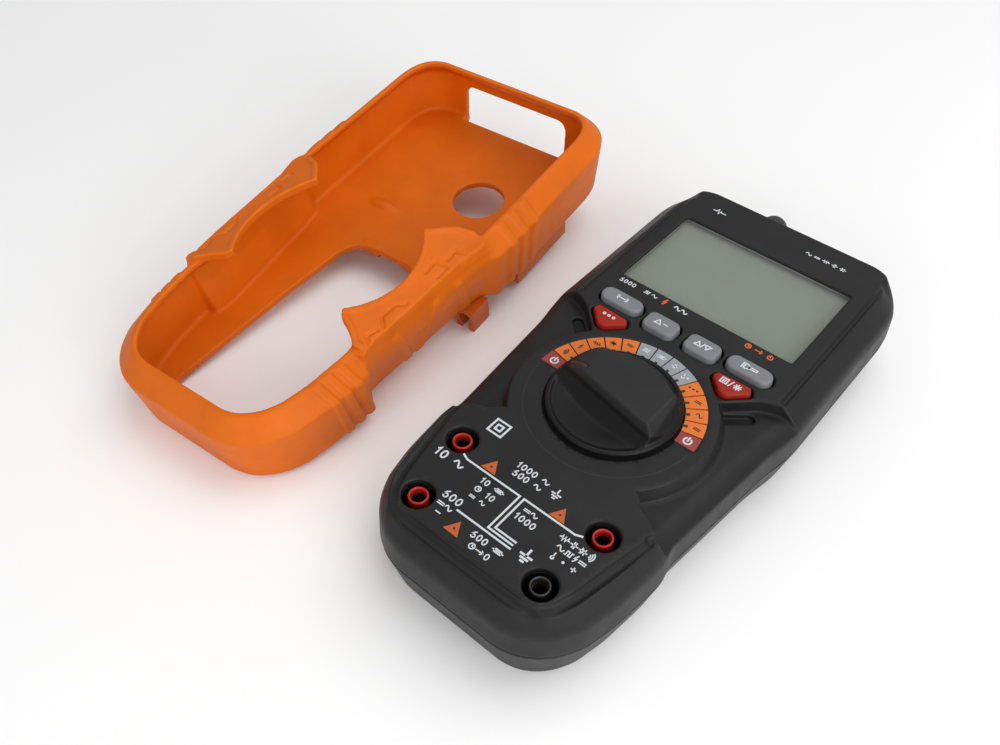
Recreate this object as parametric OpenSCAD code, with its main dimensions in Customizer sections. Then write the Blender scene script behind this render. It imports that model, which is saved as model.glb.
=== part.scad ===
// Handheld digital multimeter with a separate soft holster lying beside it.
// Millimetres. Z up, bench at z = 0, selector dial axis on the origin,
// +Y towards the display end, +X to the right of someone reading the display.

/* [Meter case] */
// half width of the display head at the seam
head_half_w = 43.3; // [38:0.1:50]
// half width of the input foot where it meets the waist
foot_half_w = 38.2; // [33:0.1:45]
// half width of the waist at mid height
waist_half_w = 39.3; // [34:0.1:44]
// distance from the dial axis to the display end wall
top_y = 105; // [95:0.5:120]
// distance from the dial axis to the input end wall
bottom_y = 70.5; // [60:0.5:85]
// height of the flat front face above the bench
face_z = 31; // [26:0.5:40]
// height of the edge where the shoulder slope meets the side wall
edge_z = 24.5; // [20:0.5:30]
// height of the seam between front and rear case
seam_z = 15; // [10:0.5:20]
// inward taper of the rear case from the seam down to the bench
rear_taper = 3.6; // [1:0.1:6]
// general wall thickness of the case mouldings
wall = 2.2; // [1.6:0.1:3.5]
// thickness of the front face
face_t = 2.4; // [1.8:0.1:4]

/* [Display] */
// width of the display opening
lcd_w = 60; // [50:0.5:66]
// height of the display opening
lcd_h = 37.9; // [30:0.1:45]
// centre of the display opening along Y
lcd_y = 65.35; // [60:0.05:70]

/* [Selector dial] */
// outer radius of the selector knob
knob_r = 19.3; // [16:0.1:24]
// radius of the knob hub that turns in the front case
hub_r = 15; // [10:0.1:16]
// radial running clearance of the hub in the case
hub_clear = 0.06; // [0.02:0.01:0.1]
// inner radius of the coloured function band
band_ri = 19.9; // [18:0.1:24]
// outer radius of the coloured function band
band_ro = 26; // [24:0.1:28]
// radius of the raised pad around the dial
pad_r = 29.4; // [28:0.1:31]
// depth of the waist recess beside the pad
recess_d = 4.6; // [3:0.1:6]
// number of function positions on the upper half turn
positions = 15; // [10:1:20]
// angle of the knob pointer at rest, measured from +X
rest_angle = 174; // [90:1:180]

/* [Input jacks] */
// radius of the recess round each jack
well_r = 4.53; // [4:0.01:6]
// bore radius of the contact sleeve, for a 4 mm plug
jack_bore_r = 2.02; // [1.9:0.01:2.2]
// half spacing of the upper jack pair
jack_up_x = 23.45; // [18:0.05:28]
// position of the upper jack pair along Y
jack_up_y = -36.75; // [-45:0.05:-30]
// half spacing of the lower jack pair
jack_lo_x = 20.07; // [15:0.01:25]
// position of the lower jack pair along Y
jack_lo_y = -57.37; // [-62:0.01:-50]

/* [Keys] */
// height of the key tops above the face
key_rise = 1.5; // [0.5:0.1:3]
// gap between a key and its opening
key_gap = 0.35; // [0.3:0.05:0.8]

/* [Holster] */
// height of the holster rim above its own back
holster_h = 26; // [24:0.5:36]
// thickness of the holster back
holster_back = 2.5; // [1.5:0.1:4]
// gap and wall the holster adds outside the meter outline
holster_out = 1.8; // [1.6:0.1:6]
// tilt of the holster as it rests on its clip lugs
holster_tilt = 5.7; // [0:0.1:8]
// turn of the holster on the bench
holster_turn = 5.5; // [-20:0.1:20]
// holster position beside the meter along X
holster_x = -107.3; // [-140:0.1:-90]
// holster position beside the meter along Y
holster_y = -4.5; // [-30:0.1:30]
// where the front edge of the lugs under the holster back sits
lug_y = 19; // [10:0.5:40]

/* [Hidden] */
$fn = 48;
eps = 0.01;
inner_z = face_z - face_t;
pcb_z = 18.5;
pcb_t = 1.6;
pcb_top = pcb_z + pcb_t;
recess_z = face_z - recess_d;
step = 12;
jacks = [[-jack_up_x, jack_up_y], [-jack_lo_x, jack_lo_y], [jack_up_x, jack_up_y], [jack_lo_x, jack_lo_y]];
case_bosses = [[36.2, 84], [28.6, -47.5]];
board_posts = [[29.5, 92.5], [29, -15]];
floor_t = 3.2;
door_t = 1.75;
door_screw_y = 90.4;
key_travel = 1;
// sensor dome in the display end wall
dome_x = -7.8;
dome_z = 24.8;
dome_r = 4.8;
// the holster rests on the edge of its input end and on the front edges of its lugs
heel_y = -(bottom_y + holster_out - 3);
lug_depth = (lug_y - heel_y) * tan(holster_tilt);

// right half of the case outline at the seam, from the input end up to the display end
half_outline = [
  [0, -bottom_y], [17, -bottom_y], [22.5, -bottom_y + 1.4], [27.2, -bottom_y + 4.4], [31, -62],
  [34.2, -56], [36.5, -46], [foot_half_w, -30], [foot_half_w - 0.6, -26], [waist_half_w - 2.3, -23.5],
  [waist_half_w - 0.4, -3.7], [waist_half_w + 1.7, 18], [head_half_w - 0.8, 25.5], [head_half_w, 31],
  [head_half_w, 88], [head_half_w - 0.9, 94], [head_half_w - 3.4, 99.4], [head_half_w - 7.4, top_y - 2],
  [head_half_w - 12.5, top_y], [0, top_y]
];

// moves an outline inwards by e, ends and sides alike
function inset(p, e) = [for (v = p) [max(v[0] - (v[0] > 0 ? e : 0), 0), v[1] + (v[1] < -60 ? e : v[1] > 93 ? -e : 0)]];
// mirrored copy of a half outline in reverse order
function flip(p) = [for (i = [len(p) - 1 : -1 : 0]) [-p[i][0], p[i][1]]];

module both() {
  children();
  mirror([1, 0, 0]) children();
}

module four(list) {
  both() for (p = list) translate([p[0], p[1], 0]) children();
}

module plan(p, z0, z1) {
  translate([0, 0, z0]) linear_extrude(z1 - z0) polygon(concat(p, flip(p)));
}

// prism that slopes off one outline edge from p to q, w wide at za and nothing at zb
module edge_cut(p, q, w, za, zb, a0 = 1, a1 = 1) {
  m = (za - zb) / w;
  translate([p[0], p[1], 0]) rotate([0, 0, atan2(q[1] - p[1], q[0] - p[0])])
    translate([-a0, 0, 0]) rotate([90, 0, 90]) linear_extrude(norm(q - p) + a0 + a1)
      polygon([[w + 0.6, za + 0.6 * m], [0, zb], [-3, zb], [-3, za + 0.6 * m]]);
}

module edge_cuts(p, w, za, zb) {
  both() for (i = [0 : len(p) - 2]) edge_cut(p[i], p[i + 1], w, za, zb);
}

module ring(ro, ri, z0, z1) {
  translate([0, 0, z0]) difference() {
    cylinder(h = z1 - z0, r = ro);
    translate([0, 0, -1]) cylinder(h = z1 - z0 + 2, r = ri);
  }
}

module rod(r, z0, z1) {
  translate([0, 0, z0]) cylinder(h = z1 - z0, r = r);
}

module block(x0, x1, y0, y1, z0, z1) {
  translate([x0, y0, z0]) cube([x1 - x0, y1 - y0, z1 - z0]);
}

module rounded(w, h, r) {
  square([w - 2 * r, h], center = true);
  square([w, h - 2 * r], center = true);
  for (sx = [-1, 1]) for (sy = [-1, 1]) translate([sx * (w / 2 - r), sy * (h / 2 - r)]) circle(r);
}

// triangular key outline with cut corners, right hand side
module tri_key(g = 0) {
  polygon([[14.7 - g, 26.9], [15.7 - g, 29.3 + g], [26.6 + g, 29.8 + g], [27.8 + g, 27.2],
    [22.3 + g, 21.8 - g], [19.7 - g, 21.9 - g]]);
}

// region of the waist recess on the right side, before the pad is left standing
module recess_plan() {
  polygon([[18, 15], [21.5, 19.3], [30.6, 28], [36, 30.2], [46, 30.2], [46, -24.5], [37.5, -27.5],
    [34, -28.6], [31.6, -26.4], [28.2, -24.4], [25.4, -23.6], [23.4, -20.6], [18, -19]]);
}

// ---------------- meter case ----------------

module case_bottom_edges() {
  edge_cuts(half_outline, rear_taper, 0, seam_z - 1);
}

module front_case() {
  color("#3c3c3c") difference() {
    union() {
      difference() {
        plan(half_outline, seam_z, face_z);
        // shoulder slope all round
        head_sides = [for (i = [12 : 15]) half_outline[i]];
        head_end = [for (i = [15 : 19]) half_outline[i]];
        foot_edges = [for (i = [0 : 8]) half_outline[i]];
        edge_cuts(head_sides, 7.2, face_z, edge_z);
        edge_cuts(head_end, 3, face_z, edge_z);
        edge_cuts(foot_edges, 5, face_z, edge_z);
        // hollow inside, stepped under the shoulders
        plan(inset(half_outline, wall), seam_z - 1, edge_z - 1.6);
        plan(inset(half_outline, wall + 3.2), seam_z, edge_z + 1.2);
        plan(inset(half_outline, wall + 6.2), seam_z, inner_z);
      }
      // floor and surround of the waist recess
      both() translate([0, 0, recess_z - 2.2]) linear_extrude(inner_z - recess_z + 2.7) difference() {
        intersection() {
          polygon([[15, 13], [17, 19], [28.5, 30], [34.5, 32.5], [44, 32.5], [44, -31], [30, -31],
            [22, -25.5], [15, -20]]);
          polygon(concat(inset(half_outline, 1), flip(inset(half_outline, 1))));
        }
        circle(27);
      }
      difference() {
        ring(pad_r + 2.4, pad_r - 3, recess_z - 2.2, inner_z + 0.5);
        block(-15, 15, -40, 40, 0, 50);
      }
      // wells round the jacks
      for (j = jacks) translate([j[0], j[1], 0]) rod(5.6, 8.1, inner_z + 0.5);
      // bosses for the case screws and the board screws
      four(case_bosses) rod(3.2, seam_z, inner_z - 3.6);
      four(board_posts) rod(2.3, pcb_top, recess_z - 1);
      both() translate([29.5, 92.5, 0]) rod(2.3, pcb_top, inner_z + 0.5);
      // neck that guides the knob hub
      ring(hub_r + 3, hub_r + hub_clear, 25.6, inner_z + 0.5);
    }
    // waist recess with the dial pad left standing
    both() difference() {
      translate([0, 0, recess_z]) linear_extrude(10) recess_plan();
      translate([0, 0, recess_z - 1]) cylinder(h = 12, r1 = pad_r + 1.6 + 0.35, r2 = pad_r - 2.2);
    }
    // fall of the recess floor towards the side wall
    both() edge_cut([35.6, -24.6], [38.3, 3.5], 5.5, recess_z + 0.01, edge_z - 0.9, 0, 0);
    both() edge_cut([38.3, 3.5], [37.6, 27], 5.5, recess_z + 0.01, edge_z - 0.9, 0, 0);
    // holster rim slots in the recess corners
    both() translate([0, 0, recess_z - 1.4]) linear_extrude(3)
      polygon([[23.6, 18.4], [30.2, 25.2], [31.8, 22.2], [26.2, 17]]);
    // hub opening and jack wells
    rod(hub_r + hub_clear, 20, face_z + 1);
    for (j = jacks) translate([j[0], j[1], 0]) {
      rod(well_r, 9, face_z + 1);
      rod(1.2, 7, 10);
    }
    // display opening with a rebate for the window
    translate([-lcd_w / 2, lcd_y - lcd_h / 2, inner_z - 1]) cube([lcd_w, lcd_h, 6]);
    block(-31.2, 31.2, lcd_y - 20.2, lcd_y + 20.2, inner_z - 1, inner_z + 1.3);
    // key openings
    both() translate([0, 0, inner_z - 3]) linear_extrude(8) {
      translate([22.3, 35.2]) rounded(15 + 2 * key_gap, 6.6 + 2 * key_gap, 3.2 + key_gap);
      translate([7.2, 34]) rounded(11.5 + 2 * key_gap, 7.8 + 2 * key_gap, 3.2 + key_gap);
      tri_key(key_gap);
    }
    // pocket for the coloured function band and fine engraved circle
    difference() {
      ring(band_ro + 0.02, band_ri, face_z - 0.3, face_z + 1);
      block(-40, 40, -40, 0, 0, 50);
    }
    difference() {
      ring(band_ro + 0.3, band_ro - 0.1, face_z - 0.25, face_z + 1);
      block(-40, 40, 0, 40, 0, 50);
    }
    // grooves that frame the head and the foot
    both() {
      block(35.4, 36.4, 31, 96.3, face_z - 0.9, face_z + 2);
      groove_line([33.7, -28.6], [28.6, -54], 1);
      groove_line([28.6, -54], [26.8, -60], 1);
      groove_line([26.8, -60], [23.9, -63.8], 1);
      groove_line([23.9, -63.8], [19.5, -65.2], 1);
    }
    block(-19.6, 19.6, -65.8, -64.6, face_z - 0.9, face_z + 2);
    // sensor dome port, torch bore behind it and screw pilot holes
    translate([dome_x, top_y - 5.7, dome_z]) rotate([-90, 0, 0]) cylinder(h = 9, r = dome_r + 0.05);
    translate([dome_x, 90, dome_z]) rotate([-90, 0, 0]) cylinder(h = 12, r = 3.2);
    four(case_bosses) rod(1.3, seam_z - 1, 24);
    four(board_posts) rod(1.1, pcb_z, pcb_top + 4.2);
  }
}

// shallow straight groove in the face from a to b
module groove_line(a, b, w) {
  translate([a[0], a[1], face_z - 0.9]) rotate([0, 0, atan2(b[1] - a[1], b[0] - a[0])])
    translate([-0.3, -w / 2, 0]) cube([norm(b - a) + 0.6, w, 3]);
}

module rear_case() {
  color("#444444") difference() {
    union() {
      difference() {
        plan(half_outline, 0, seam_z);
        case_bottom_edges();
        plan(inset(half_outline, wall + 3.4), floor_t, seam_z + 1);
        plan(inset(half_outline, wall + 1.2), 8, seam_z + 1);
      }
      // screw pillars, tied to the side walls
      four(case_bosses) rod(3.4, 1, seam_z);
      // battery compartment walls
      block(-19.4, 19.4, 33.2, 34.8, 1, seam_z - 1.5);
      block(-19.4, 19.4, 85.6, 87.2, 1, seam_z - 1.5);
      both() block(17.8, 19.4, 33.2, 87.2, 1, seam_z - 1.5);
      translate([0, door_screw_y, 0]) rod(3, 1, 9);
    }
    four(case_bosses) {
      rod(1.6, -1, seam_z + 1);
      rod(2.9, -1, 9);
    }
    // opening and rebate for the battery door
    block(-17.8, 17.8, 34.8, 85.6, -1, 5);
    block(-21, 21, 31, 94.2, -1, door_t + 0.05);
    translate([0, door_screw_y, 0]) rod(1, -1, 8);
  }
}

module battery_door() {
  color("#404040") difference() {
    union() {
      block(-20.8, 20.8, 31.2, 94, 0, door_t);
      block(-17.4, 17.4, 35.2, 85.2, 0, door_t + 1);
    }
    for (i = [-3 : 3]) block(-12, 12, 60 + 3 * i, 61 + 3 * i, -1, 0.4);
    translate([0, door_screw_y, 0]) {
      rod(1.15, -1, 5);
      rod(2.3, -1, 0.9);
    }
  }
}

module door_screw() {
  color("#9a9a9e") translate([0, door_screw_y, 0]) difference() {
    union() {
      rod(2.1, 0.1, 0.9);
      rod(1, 0.9, 7.6);
    }
    block(-1.3, 1.3, -0.25, 0.25, 0, 0.5);
    block(-0.25, 0.25, -1.3, 1.3, 0, 0.5);
  }
}

module case_screws() {
  color("#9a9a9e") four(case_bosses) difference() {
    union() {
      rod(2.8, 6.5, 8.9);
      rod(1.3, 8.9, 23.4);
    }
    block(-1.6, 1.6, -0.3, 0.3, 6, 7.4);
    block(-0.3, 0.3, -1.6, 1.6, 6, 7.4);
  }
}

// ---------------- display ----------------

module display_window() {
  color([0.75, 0.8, 0.78, 0.35]) block(-31, 31, lcd_y - 20, lcd_y + 20, inner_z, inner_z + 1.25);
}

module lcd_panel() {
  color("#79816f") union() {
    block(-30.6, 30.6, lcd_y - 20, lcd_y + 20, 27.2, 28.5);
    block(-30.6, 30.6, lcd_y - 17.6, lcd_y + 20, 26, 27.2);
  }
}

module backlight_plate() {
  color("#e8ece8") union() {
    block(-29.4, 29.4, lcd_y - 17, lcd_y + 19, 24, 25.9);
    block(-33, -29.4, lcd_y - 6, lcd_y + 6, 24, 25.2);
  }
}

module lcd_holder() {
  color("#d8d8d0") difference() {
    block(-32.8, 32.8, lcd_y - 22.5, lcd_y + 21.6, pcb_top, 28.3);
    block(-30.8, 30.8, lcd_y - 20.2, lcd_y + 20.2, 25.95, 29);
    block(-29.6, 29.6, lcd_y - 17.2, lcd_y + 19.2, 22.6, 29);
    block(-34, 34, lcd_y - 7, lcd_y + 7, 23.9, 25.95);
    block(-28, 28, lcd_y - 20, lcd_y - 17.6, pcb_top - 1, 29);
    block(-27, 27, lcd_y - 14, lcd_y + 16, pcb_top - 1, 24);
  }
}

module zebra_strip() {
  color("#2b2b2f") block(-27.6, 27.6, lcd_y - 19.8, lcd_y - 17.8, pcb_top, 27.2);
}

// ---------------- board ----------------

module main_pcb() {
  color("#2f6b3a") difference() {
    translate([0, 0, pcb_z]) linear_extrude(pcb_t) difference() {
      intersection() {
        union() {
          translate([-32.8, 24]) square([65.6, 74]);
          translate([-34, -43.6]) square([68, 70]);
          translate([-25, -66]) square([50, 26]);
        }
        polygon(concat(inset(half_outline, 3.4), flip(inset(half_outline, 3.4))));
      }
      for (j = jacks) translate(j) circle(6);
      both() for (p = board_posts) translate(p) circle(1.2);
      both() translate([36.2, 84]) circle(3.8);
      both() translate([-28.6, -47.5]) circle(4);
      circle(2.6);
    }
    block(-8.4, 8.4, 98.5, 110, 10, 30);
  }
}

module board_tracks() {
  color("#c9a24a") {
    ring(13.6, 12.4, pcb_top, pcb_top + 0.05);
    ring(11.4, 10.4, pcb_top, pcb_top + 0.05);
    ring(9.4, 8.4, pcb_top, pcb_top + 0.05);
    ring(7.4, 6.4, pcb_top, pcb_top + 0.05);
  }
}

module chips() {
  color("#1c1c1e") {
    block(-9, 9, 3.4, 16, pcb_z - 1.8, pcb_z);
    block(15, 22, -5, 3, pcb_z - 1.5, pcb_z);
    block(-26, -20, 8, 18, pcb_z - 1.6, pcb_z);
    for (i = [0 : 4]) block(-20 + 3.4 * i, -18 + 3.4 * i, 22, 23.4, pcb_z - 0.8, pcb_z);
  }
}

module keypad_membrane() {
  color("#8b8f92") union() {
    block(-31, 31, 20.4, 39.6, pcb_top + 0.1, pcb_top + 1.1);
    both() {
      translate([22.3, 35.2, 0]) rod(2.6, pcb_top + 1, pcb_top + 2.4 - key_travel);
      translate([7.2, 34, 0]) rod(2.6, pcb_top + 1, pcb_top + 2.4 - key_travel);
      translate([21.2, 26.8, 0]) rod(2.6, pcb_top + 1, pcb_top + 2.4 - key_travel);
    }
  }
}

module pcb_screws() {
  color("#b0b0b4") four(board_posts) union() {
    rod(2.1, pcb_z - 1.6, pcb_z);
    rod(1.1, pcb_z, pcb_top + 4);
  }
}

module buzzer() {
  color("#26262a") translate([21, 12, 0]) difference() {
    rod(6.5, 13, pcb_z - eps);
    rod(1, 12, 15);
  }
}

module fuse_bodies() {
  color("#e6e0d2") {
    translate([-13, -12, 11.6]) rotate([0, 90, 0]) cylinder(h = 26, r = 4.9);
    translate([-10, -26, 12.4]) rotate([0, 90, 0]) cylinder(h = 20, r = 3);
  }
}

module fuse_caps() {
  color("#c4c6c8") {
    both() translate([13, -12, 11.6]) rotate([0, 90, 0]) cylinder(h = 6, r = 5.15);
    both() translate([10, -26, 12.4]) rotate([0, 90, 0]) cylinder(h = 6, r = 3.2);
  }
}

module fuse_clips() {
  color("#b8934a") both() {
    fuse_clip(13.6, 18.4, -12, 11.6, 5.15);
    fuse_clip(10.6, 15.4, -26, 12.4, 3.2);
  }
}

// spring clip that hangs from the board and holds a fuse cap between two leaves
module fuse_clip(x0, x1, y, z, r) {
  block(x0, x1, y - r - 0.5, y + r + 0.5, pcb_z - 0.5, pcb_z);
  block(x0, x1, y - r - 0.5, y - r, z - 2.5, pcb_z - 0.5);
  block(x0, x1, y + r, y + r + 0.5, z - 2.5, pcb_z - 0.5);
}

module battery_cells() {
  color("#4a5a80") for (i = [-1 : 1]) translate([11.5 * i, 37.8, 8.2]) rotate([-90, 0, 0]) union() {
    cylinder(h = 43.4, r = 5.2);
    translate([0, 0, 43.4]) cylinder(h = 0.9, r = 1.9);
  }
}

module battery_contacts() {
  color("#c8cacc") {
    block(-16.6, 16.6, 34.8, 35.1, 3.6, 12.6);
    for (i = [-1 : 1]) translate([11.5 * i, 35.1, 8.2]) rotate([-90, 0, 0]) union() {
      cylinder(h = 1.2, r = 3.4);
      translate([0, 0, 1.2]) cylinder(h = 1.5, r = 2.4);
    }
    block(-16.6, 16.6, 85.3, 85.6, 3.6, 12.6);
    for (i = [-1 : 1]) translate([11.5 * i, 82.1, 8.2]) rotate([-90, 0, 0]) cylinder(h = 3.2, r = 2.8);
  }
}

module torch_led() {
  color("#f4f4e8") translate([dome_x, 0, dome_z]) rotate([-90, 0, 0]) union() {
    translate([0, 0, 94]) cylinder(h = 5, r = 2.4);
    translate([0, 0, 93]) cylinder(h = 1, r = 2.9);
    translate([0, 0, 99]) sphere(2.4);
  }
}

module sensor_dome() {
  color("#2a2a2c") difference() {
    union() {
      translate([dome_x, top_y - 5.6, dome_z]) rotate([-90, 0, 0]) cylinder(h = 5.4, r = dome_r);
      translate([dome_x, top_y - 0.2, dome_z]) difference() {
        sphere(dome_r);
        block(-6, 6, -6, 0, -6, 6);
      }
    }
    translate([dome_x, top_y - 7, dome_z]) rotate([-90, 0, 0]) cylinder(h = 7.6, r = 3.4);
  }
}

// ---------------- selector ----------------

module selector_knob() {
  color("#2b2b2b") rotate([0, 0, rest_angle - 180]) union() {
    difference() {
      union() {
        rod(hub_r, 24.2, face_z + 0.4);
        rod(knob_r, face_z + 0.35, face_z + 1.6);
        translate([0, 0, face_z + 1.6]) cylinder(h = 0.5, r1 = knob_r, r2 = knob_r - 0.5);
      }
      translate([0, 0, face_z + 0.9]) cylinder(h = 2, r1 = 16.9, r2 = 18.2);
      rod(12.6, 20, face_z - 1.6);
    }
    difference() {
      translate([0, 0, face_z + 0.8]) linear_extrude(6.4)
        polygon([[-17.4, -2.6], [-17.8, 0], [-17.4, 2.6], [-10, 4.6], [0, 5.8], [8, 5.9], [14, 5.2],
          [17.2, 3.6], [17.8, 0], [17.2, -3.6], [14, -5.2], [8, -5.9], [0, -5.8], [-10, -4.6]]);
      // sloped thumb face at the broad end and a slight fall to the pointer
      rotate([90, 0, 0]) translate([0, 0, -10]) linear_extrude(20)
        polygon([[9.5, face_z + 7.3], [18.5, face_z + 2.2], [18.5, face_z + 9]]);
      rotate([90, 0, 0]) translate([0, 0, -10]) linear_extrude(20)
        polygon([[-12, face_z + 7.3], [-18.5, face_z + 4.2], [-18.5, face_z + 9]]);
      // pocket for the pointer mark
      translate([-16.9, -0.9, face_z + 4.2]) cube([6, 1.8, 4]);
    }
  }
}

module knob_pointer() {
  color("#8c3226") rotate([0, 0, rest_angle - 180]) difference() {
    translate([-16.9, -0.9, face_z + 4.2]) cube([6, 1.8, 3.2]);
    rotate([90, 0, 0]) translate([0, 0, -10]) linear_extrude(20)
      polygon([[-8, face_z + 7.25], [-12, face_z + 7.25], [-18.5, face_z + 4.15], [-18.5, face_z + 9],
        [-8, face_z + 9]]);
  }
}

module selector_rotor() {
  color("#e9e6da") difference() {
    union() {
      rod(14.6, 21.6, 24.2);
      rod(12.5, 24.2, 26.8);
      rod(2.5, pcb_z - 0.6, 21.6);
    }
    for (a = [0 : 3]) rotate([0, 0, 90 * a + 20]) block(6, 13.8, -1.6, 1.6, 21, 22.4);
    both() rotate([0, 0, 6]) translate([12.4, 0, 23]) rotate([0, 90, 0]) cylinder(h = 4, r = 0.8);
  }
}

module rotor_wipers() {
  color("#c9a24a") for (a = [0 : 3]) rotate([0, 0, 90 * a + 20]) union() {
    block(6, 13.8, -1.5, 1.5, 22, 22.4);
    block(6.4, 7.4, -1.2, 1.2, pcb_top + 0.15, 22);
    block(12.4, 13.4, -1.2, 1.2, pcb_top + 0.15, 22);
  }
}

module detent_plungers() {
  color("#b9bcc0") both() rotate([0, 0, 6]) translate([12.6, 0, 23]) rotate([0, 90, 0]) union() {
    cylinder(h = 2.3, r = 0.7);
    translate([0, 0, 2.2]) sphere(0.7);
  }
}

module detent_ring() {
  color("#5a5c60") difference() {
    ring(18, 15.8, pcb_top, 25.5);
    for (a = [0 : 29]) rotate([0, 0, step * a + 6]) translate([15.8, 0, 0]) rod(0.7, pcb_top - 1, 26);
  }
}

// one cell of the coloured function band, cell 0 starts on the -X side
module band_cell(i) {
  rotate([0, 0, 180 - step * (i + 1) + 0.5]) translate([0, 0, face_z - 0.3])
    rotate_extrude(angle = step - 1) translate([band_ri, 0]) square([band_ro - band_ri, 0.3]);
}

module scale_orange() {
  color("#e07c28") {
    for (i = [1 : 5]) band_cell(i);
    for (i = [10 : 13]) band_cell(i);
  }
}

module scale_grey() {
  color("#96989b") for (i = [6 : 9]) band_cell(i);
}

module scale_off() {
  color("#8c3737") for (i = [0, 14]) band_cell(i);
}

// ---------------- keys ----------------

module pill_key(x, y, w, h) {
  color("#787a7d") translate([x, y, 0]) union() {
    translate([0, 0, 27.3]) linear_extrude(face_z + key_rise - 27.3) rounded(w, h, 3.2);
    translate([0, 0, 26.9]) linear_extrude(1.3) rounded(w, h + 1.6, 3.2);
    rod(1.8, pcb_top + 2.5, 27.4);
  }
}

module red_key(s) {
  color("#962818") union() {
    translate([0, 0, 27.3]) linear_extrude(face_z + key_rise - 27.6) mirror([s, 0]) tri_key();
    translate([(1 - 2 * s) * 21.2, 26.8, 0]) rod(1.8, pcb_top + 2.5, 27.4);
  }
}

module key_range() pill_key(-22.3, 35.2, 15, 6.6);
module key_relative() pill_key(-7.2, 34, 11.5, 7.8);
module key_minmax() pill_key(7.2, 34, 11.5, 7.8);
module key_torch() pill_key(22.3, 35.2, 15, 6.6);
module key_select() red_key(1);
module key_hold() red_key(0);

// ---------------- inputs and print ----------------

module jack_tube(j) {
  translate([j[0], j[1], 0]) ring(2.8, 2.48, 9, face_z - 0.6);
}

module jack_tubes_red() {
  color("#aa1914") for (i = [0 : 2]) jack_tube(jacks[i]);
}

module jack_tube_black() {
  color("#141414") jack_tube(jacks[3]);
}

module jack_sleeves() {
  color("#c2a24e") for (j = jacks) translate([j[0], j[1], 0]) {
    ring(2.48, jack_bore_r, 9, 28);
    rod(1.2, 6, 9);
  }
}

module mark_line(a, b, w) {
  translate([a[0], a[1], face_z]) rotate([0, 0, atan2(b[1] - a[1], b[0] - a[0])])
    translate([-w / 2, -w / 2, 0]) cube([norm(b - a) + w, w, 0.06]);
}

module face_marks() {
  color("#d2d7da") {
    // lines that tie each input to the common one
    mark_line([-19.6, -40.3], [-17.9, -41], 0.55);
    mark_line([-17.9, -41], [0.2, -41], 0.55);
    mark_line([0.2, -41], [0.2, -53.4], 0.55);
    mark_line([0.2, -53.4], [8, -53.4], 0.55);
    mark_line([19.6, -40.3], [17.9, -41], 0.55);
    mark_line([17.9, -41], [1.6, -41], 0.55);
    mark_line([1.6, -41], [1.6, -52.3], 0.55);
    mark_line([1.6, -52.3], [8.2, -52.3], 0.55);
    mark_line([-9, -54.6], [8.2, -54.6], 0.55);
    // double square
    for (s = [2.6, 1.2]) translate([-18.4, -27.4, face_z]) difference() {
      translate([-s, -s, 0]) cube([2 * s, 2 * s, 0.06]);
      translate([-s + 0.6, -s + 0.6, -1]) cube([2 * s - 1.2, 2 * s - 1.2, 3]);
    }
  }
}

module face_triangles() {
  color("#be5a28") for (p = [[-11.4, -38.8], [11.5, -39], [-6, -59.3]]) translate([p[0], p[1], face_z])
    linear_extrude(0.06) polygon([[-2.4, -1.4], [2.4, -1.4], [0, 2.7]]);
}

// ---------------- holster, drawn flat on its back round its own dial axis ----------------

module place_holster() {
  translate([holster_x, holster_y, 0]) rotate([0, 0, holster_turn])
    translate([0, heel_y, 0]) rotate([holster_tilt, 0, 0]) translate([0, -heel_y, 0]) children();
}

module holster_shell() {
  o = inset(half_outline, -holster_out);
  o_foot = [for (v = o) if (v[1] < -29) v];
  o_head = [for (v = o) if (v[1] > 30) v];
  color("#dc6a1c") place_holster() difference() {
    union() {
      difference() {
        plan(o, 0, holster_h);
        // wide sloped rim and a chamfer round the back, both broken at the waist
        edge_cuts(o_foot, 5.7, holster_h, holster_h - 6.1);
        edge_cuts(o_head, 5.7, holster_h, holster_h - 6.1);
        edge_cuts(o_foot, 3, 0, 7);
        edge_cuts(o_head, 3, 0, 7);
        // hollow that steps in under the rim
        plan(inset(half_outline, -0.4), 7.5, holster_h - 7.2);
        plan(inset(half_outline, 0.4), 5, holster_h - 5.6);
        plan(inset(half_outline, 1.9), holster_back, holster_h - 4);
        plan(inset(half_outline, 3.4), holster_back, holster_h - 2.4);
        plan(inset(half_outline, 5.4), holster_back, holster_h + 1);
      }
      // triangular grips that lie in the waist recess, rising towards the dial
      both() translate([39, 0, holster_h - 2.5]) rotate([0, 12, 0]) translate([-39, 0, 0])
        linear_extrude(2.6) difference() {
          polygon([[18, 14], [22.6, 19.6], [30, 28], [36, 30.2], [39.4, 27], [38.9, 2], [37.6, -22],
            [36, -27.4], [33.6, -28], [31, -25.6], [27.6, -23.4], [24.6, -22.2], [22.4, -19], [18, -17]]);
          circle(pad_r + 1);
        }
    }
    // open lower back and round hole above it
    translate([0, 0, -1]) linear_extrude(holster_back + 2) {
      polygon([[-18, -62], [18, -62], [22.8, -56], [19.2, -10], [16, 17], [13.4, 22], [9, 24],
        [-9, 24], [-13.4, 22], [-16, 17], [-19.2, -10], [-22.8, -56]]);
      translate([10.3, 64.5]) circle(9.5);
    }
    // window in the display end wall, cut down through the back
    translate([0, top_y + 6, 7.2]) rotate([90, 0, 0]) linear_extrude(10.5) rounded(46, 17, 4.5);
    // grip grooves on the side walls
    both() for (y = [40, 45.5, 51]) block(head_half_w + holster_out - 0.6, 60, y, y + 1.6, 8, holster_h - 6);
    both() for (i = [0 : 2]) translate([foot_half_w + holster_out - 1.3 - 0.6 * i, -37 - 5 * i, 8])
      rotate([0, 0, -8]) cube([9, 1.4, holster_h - 14]);
  }
}

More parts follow.
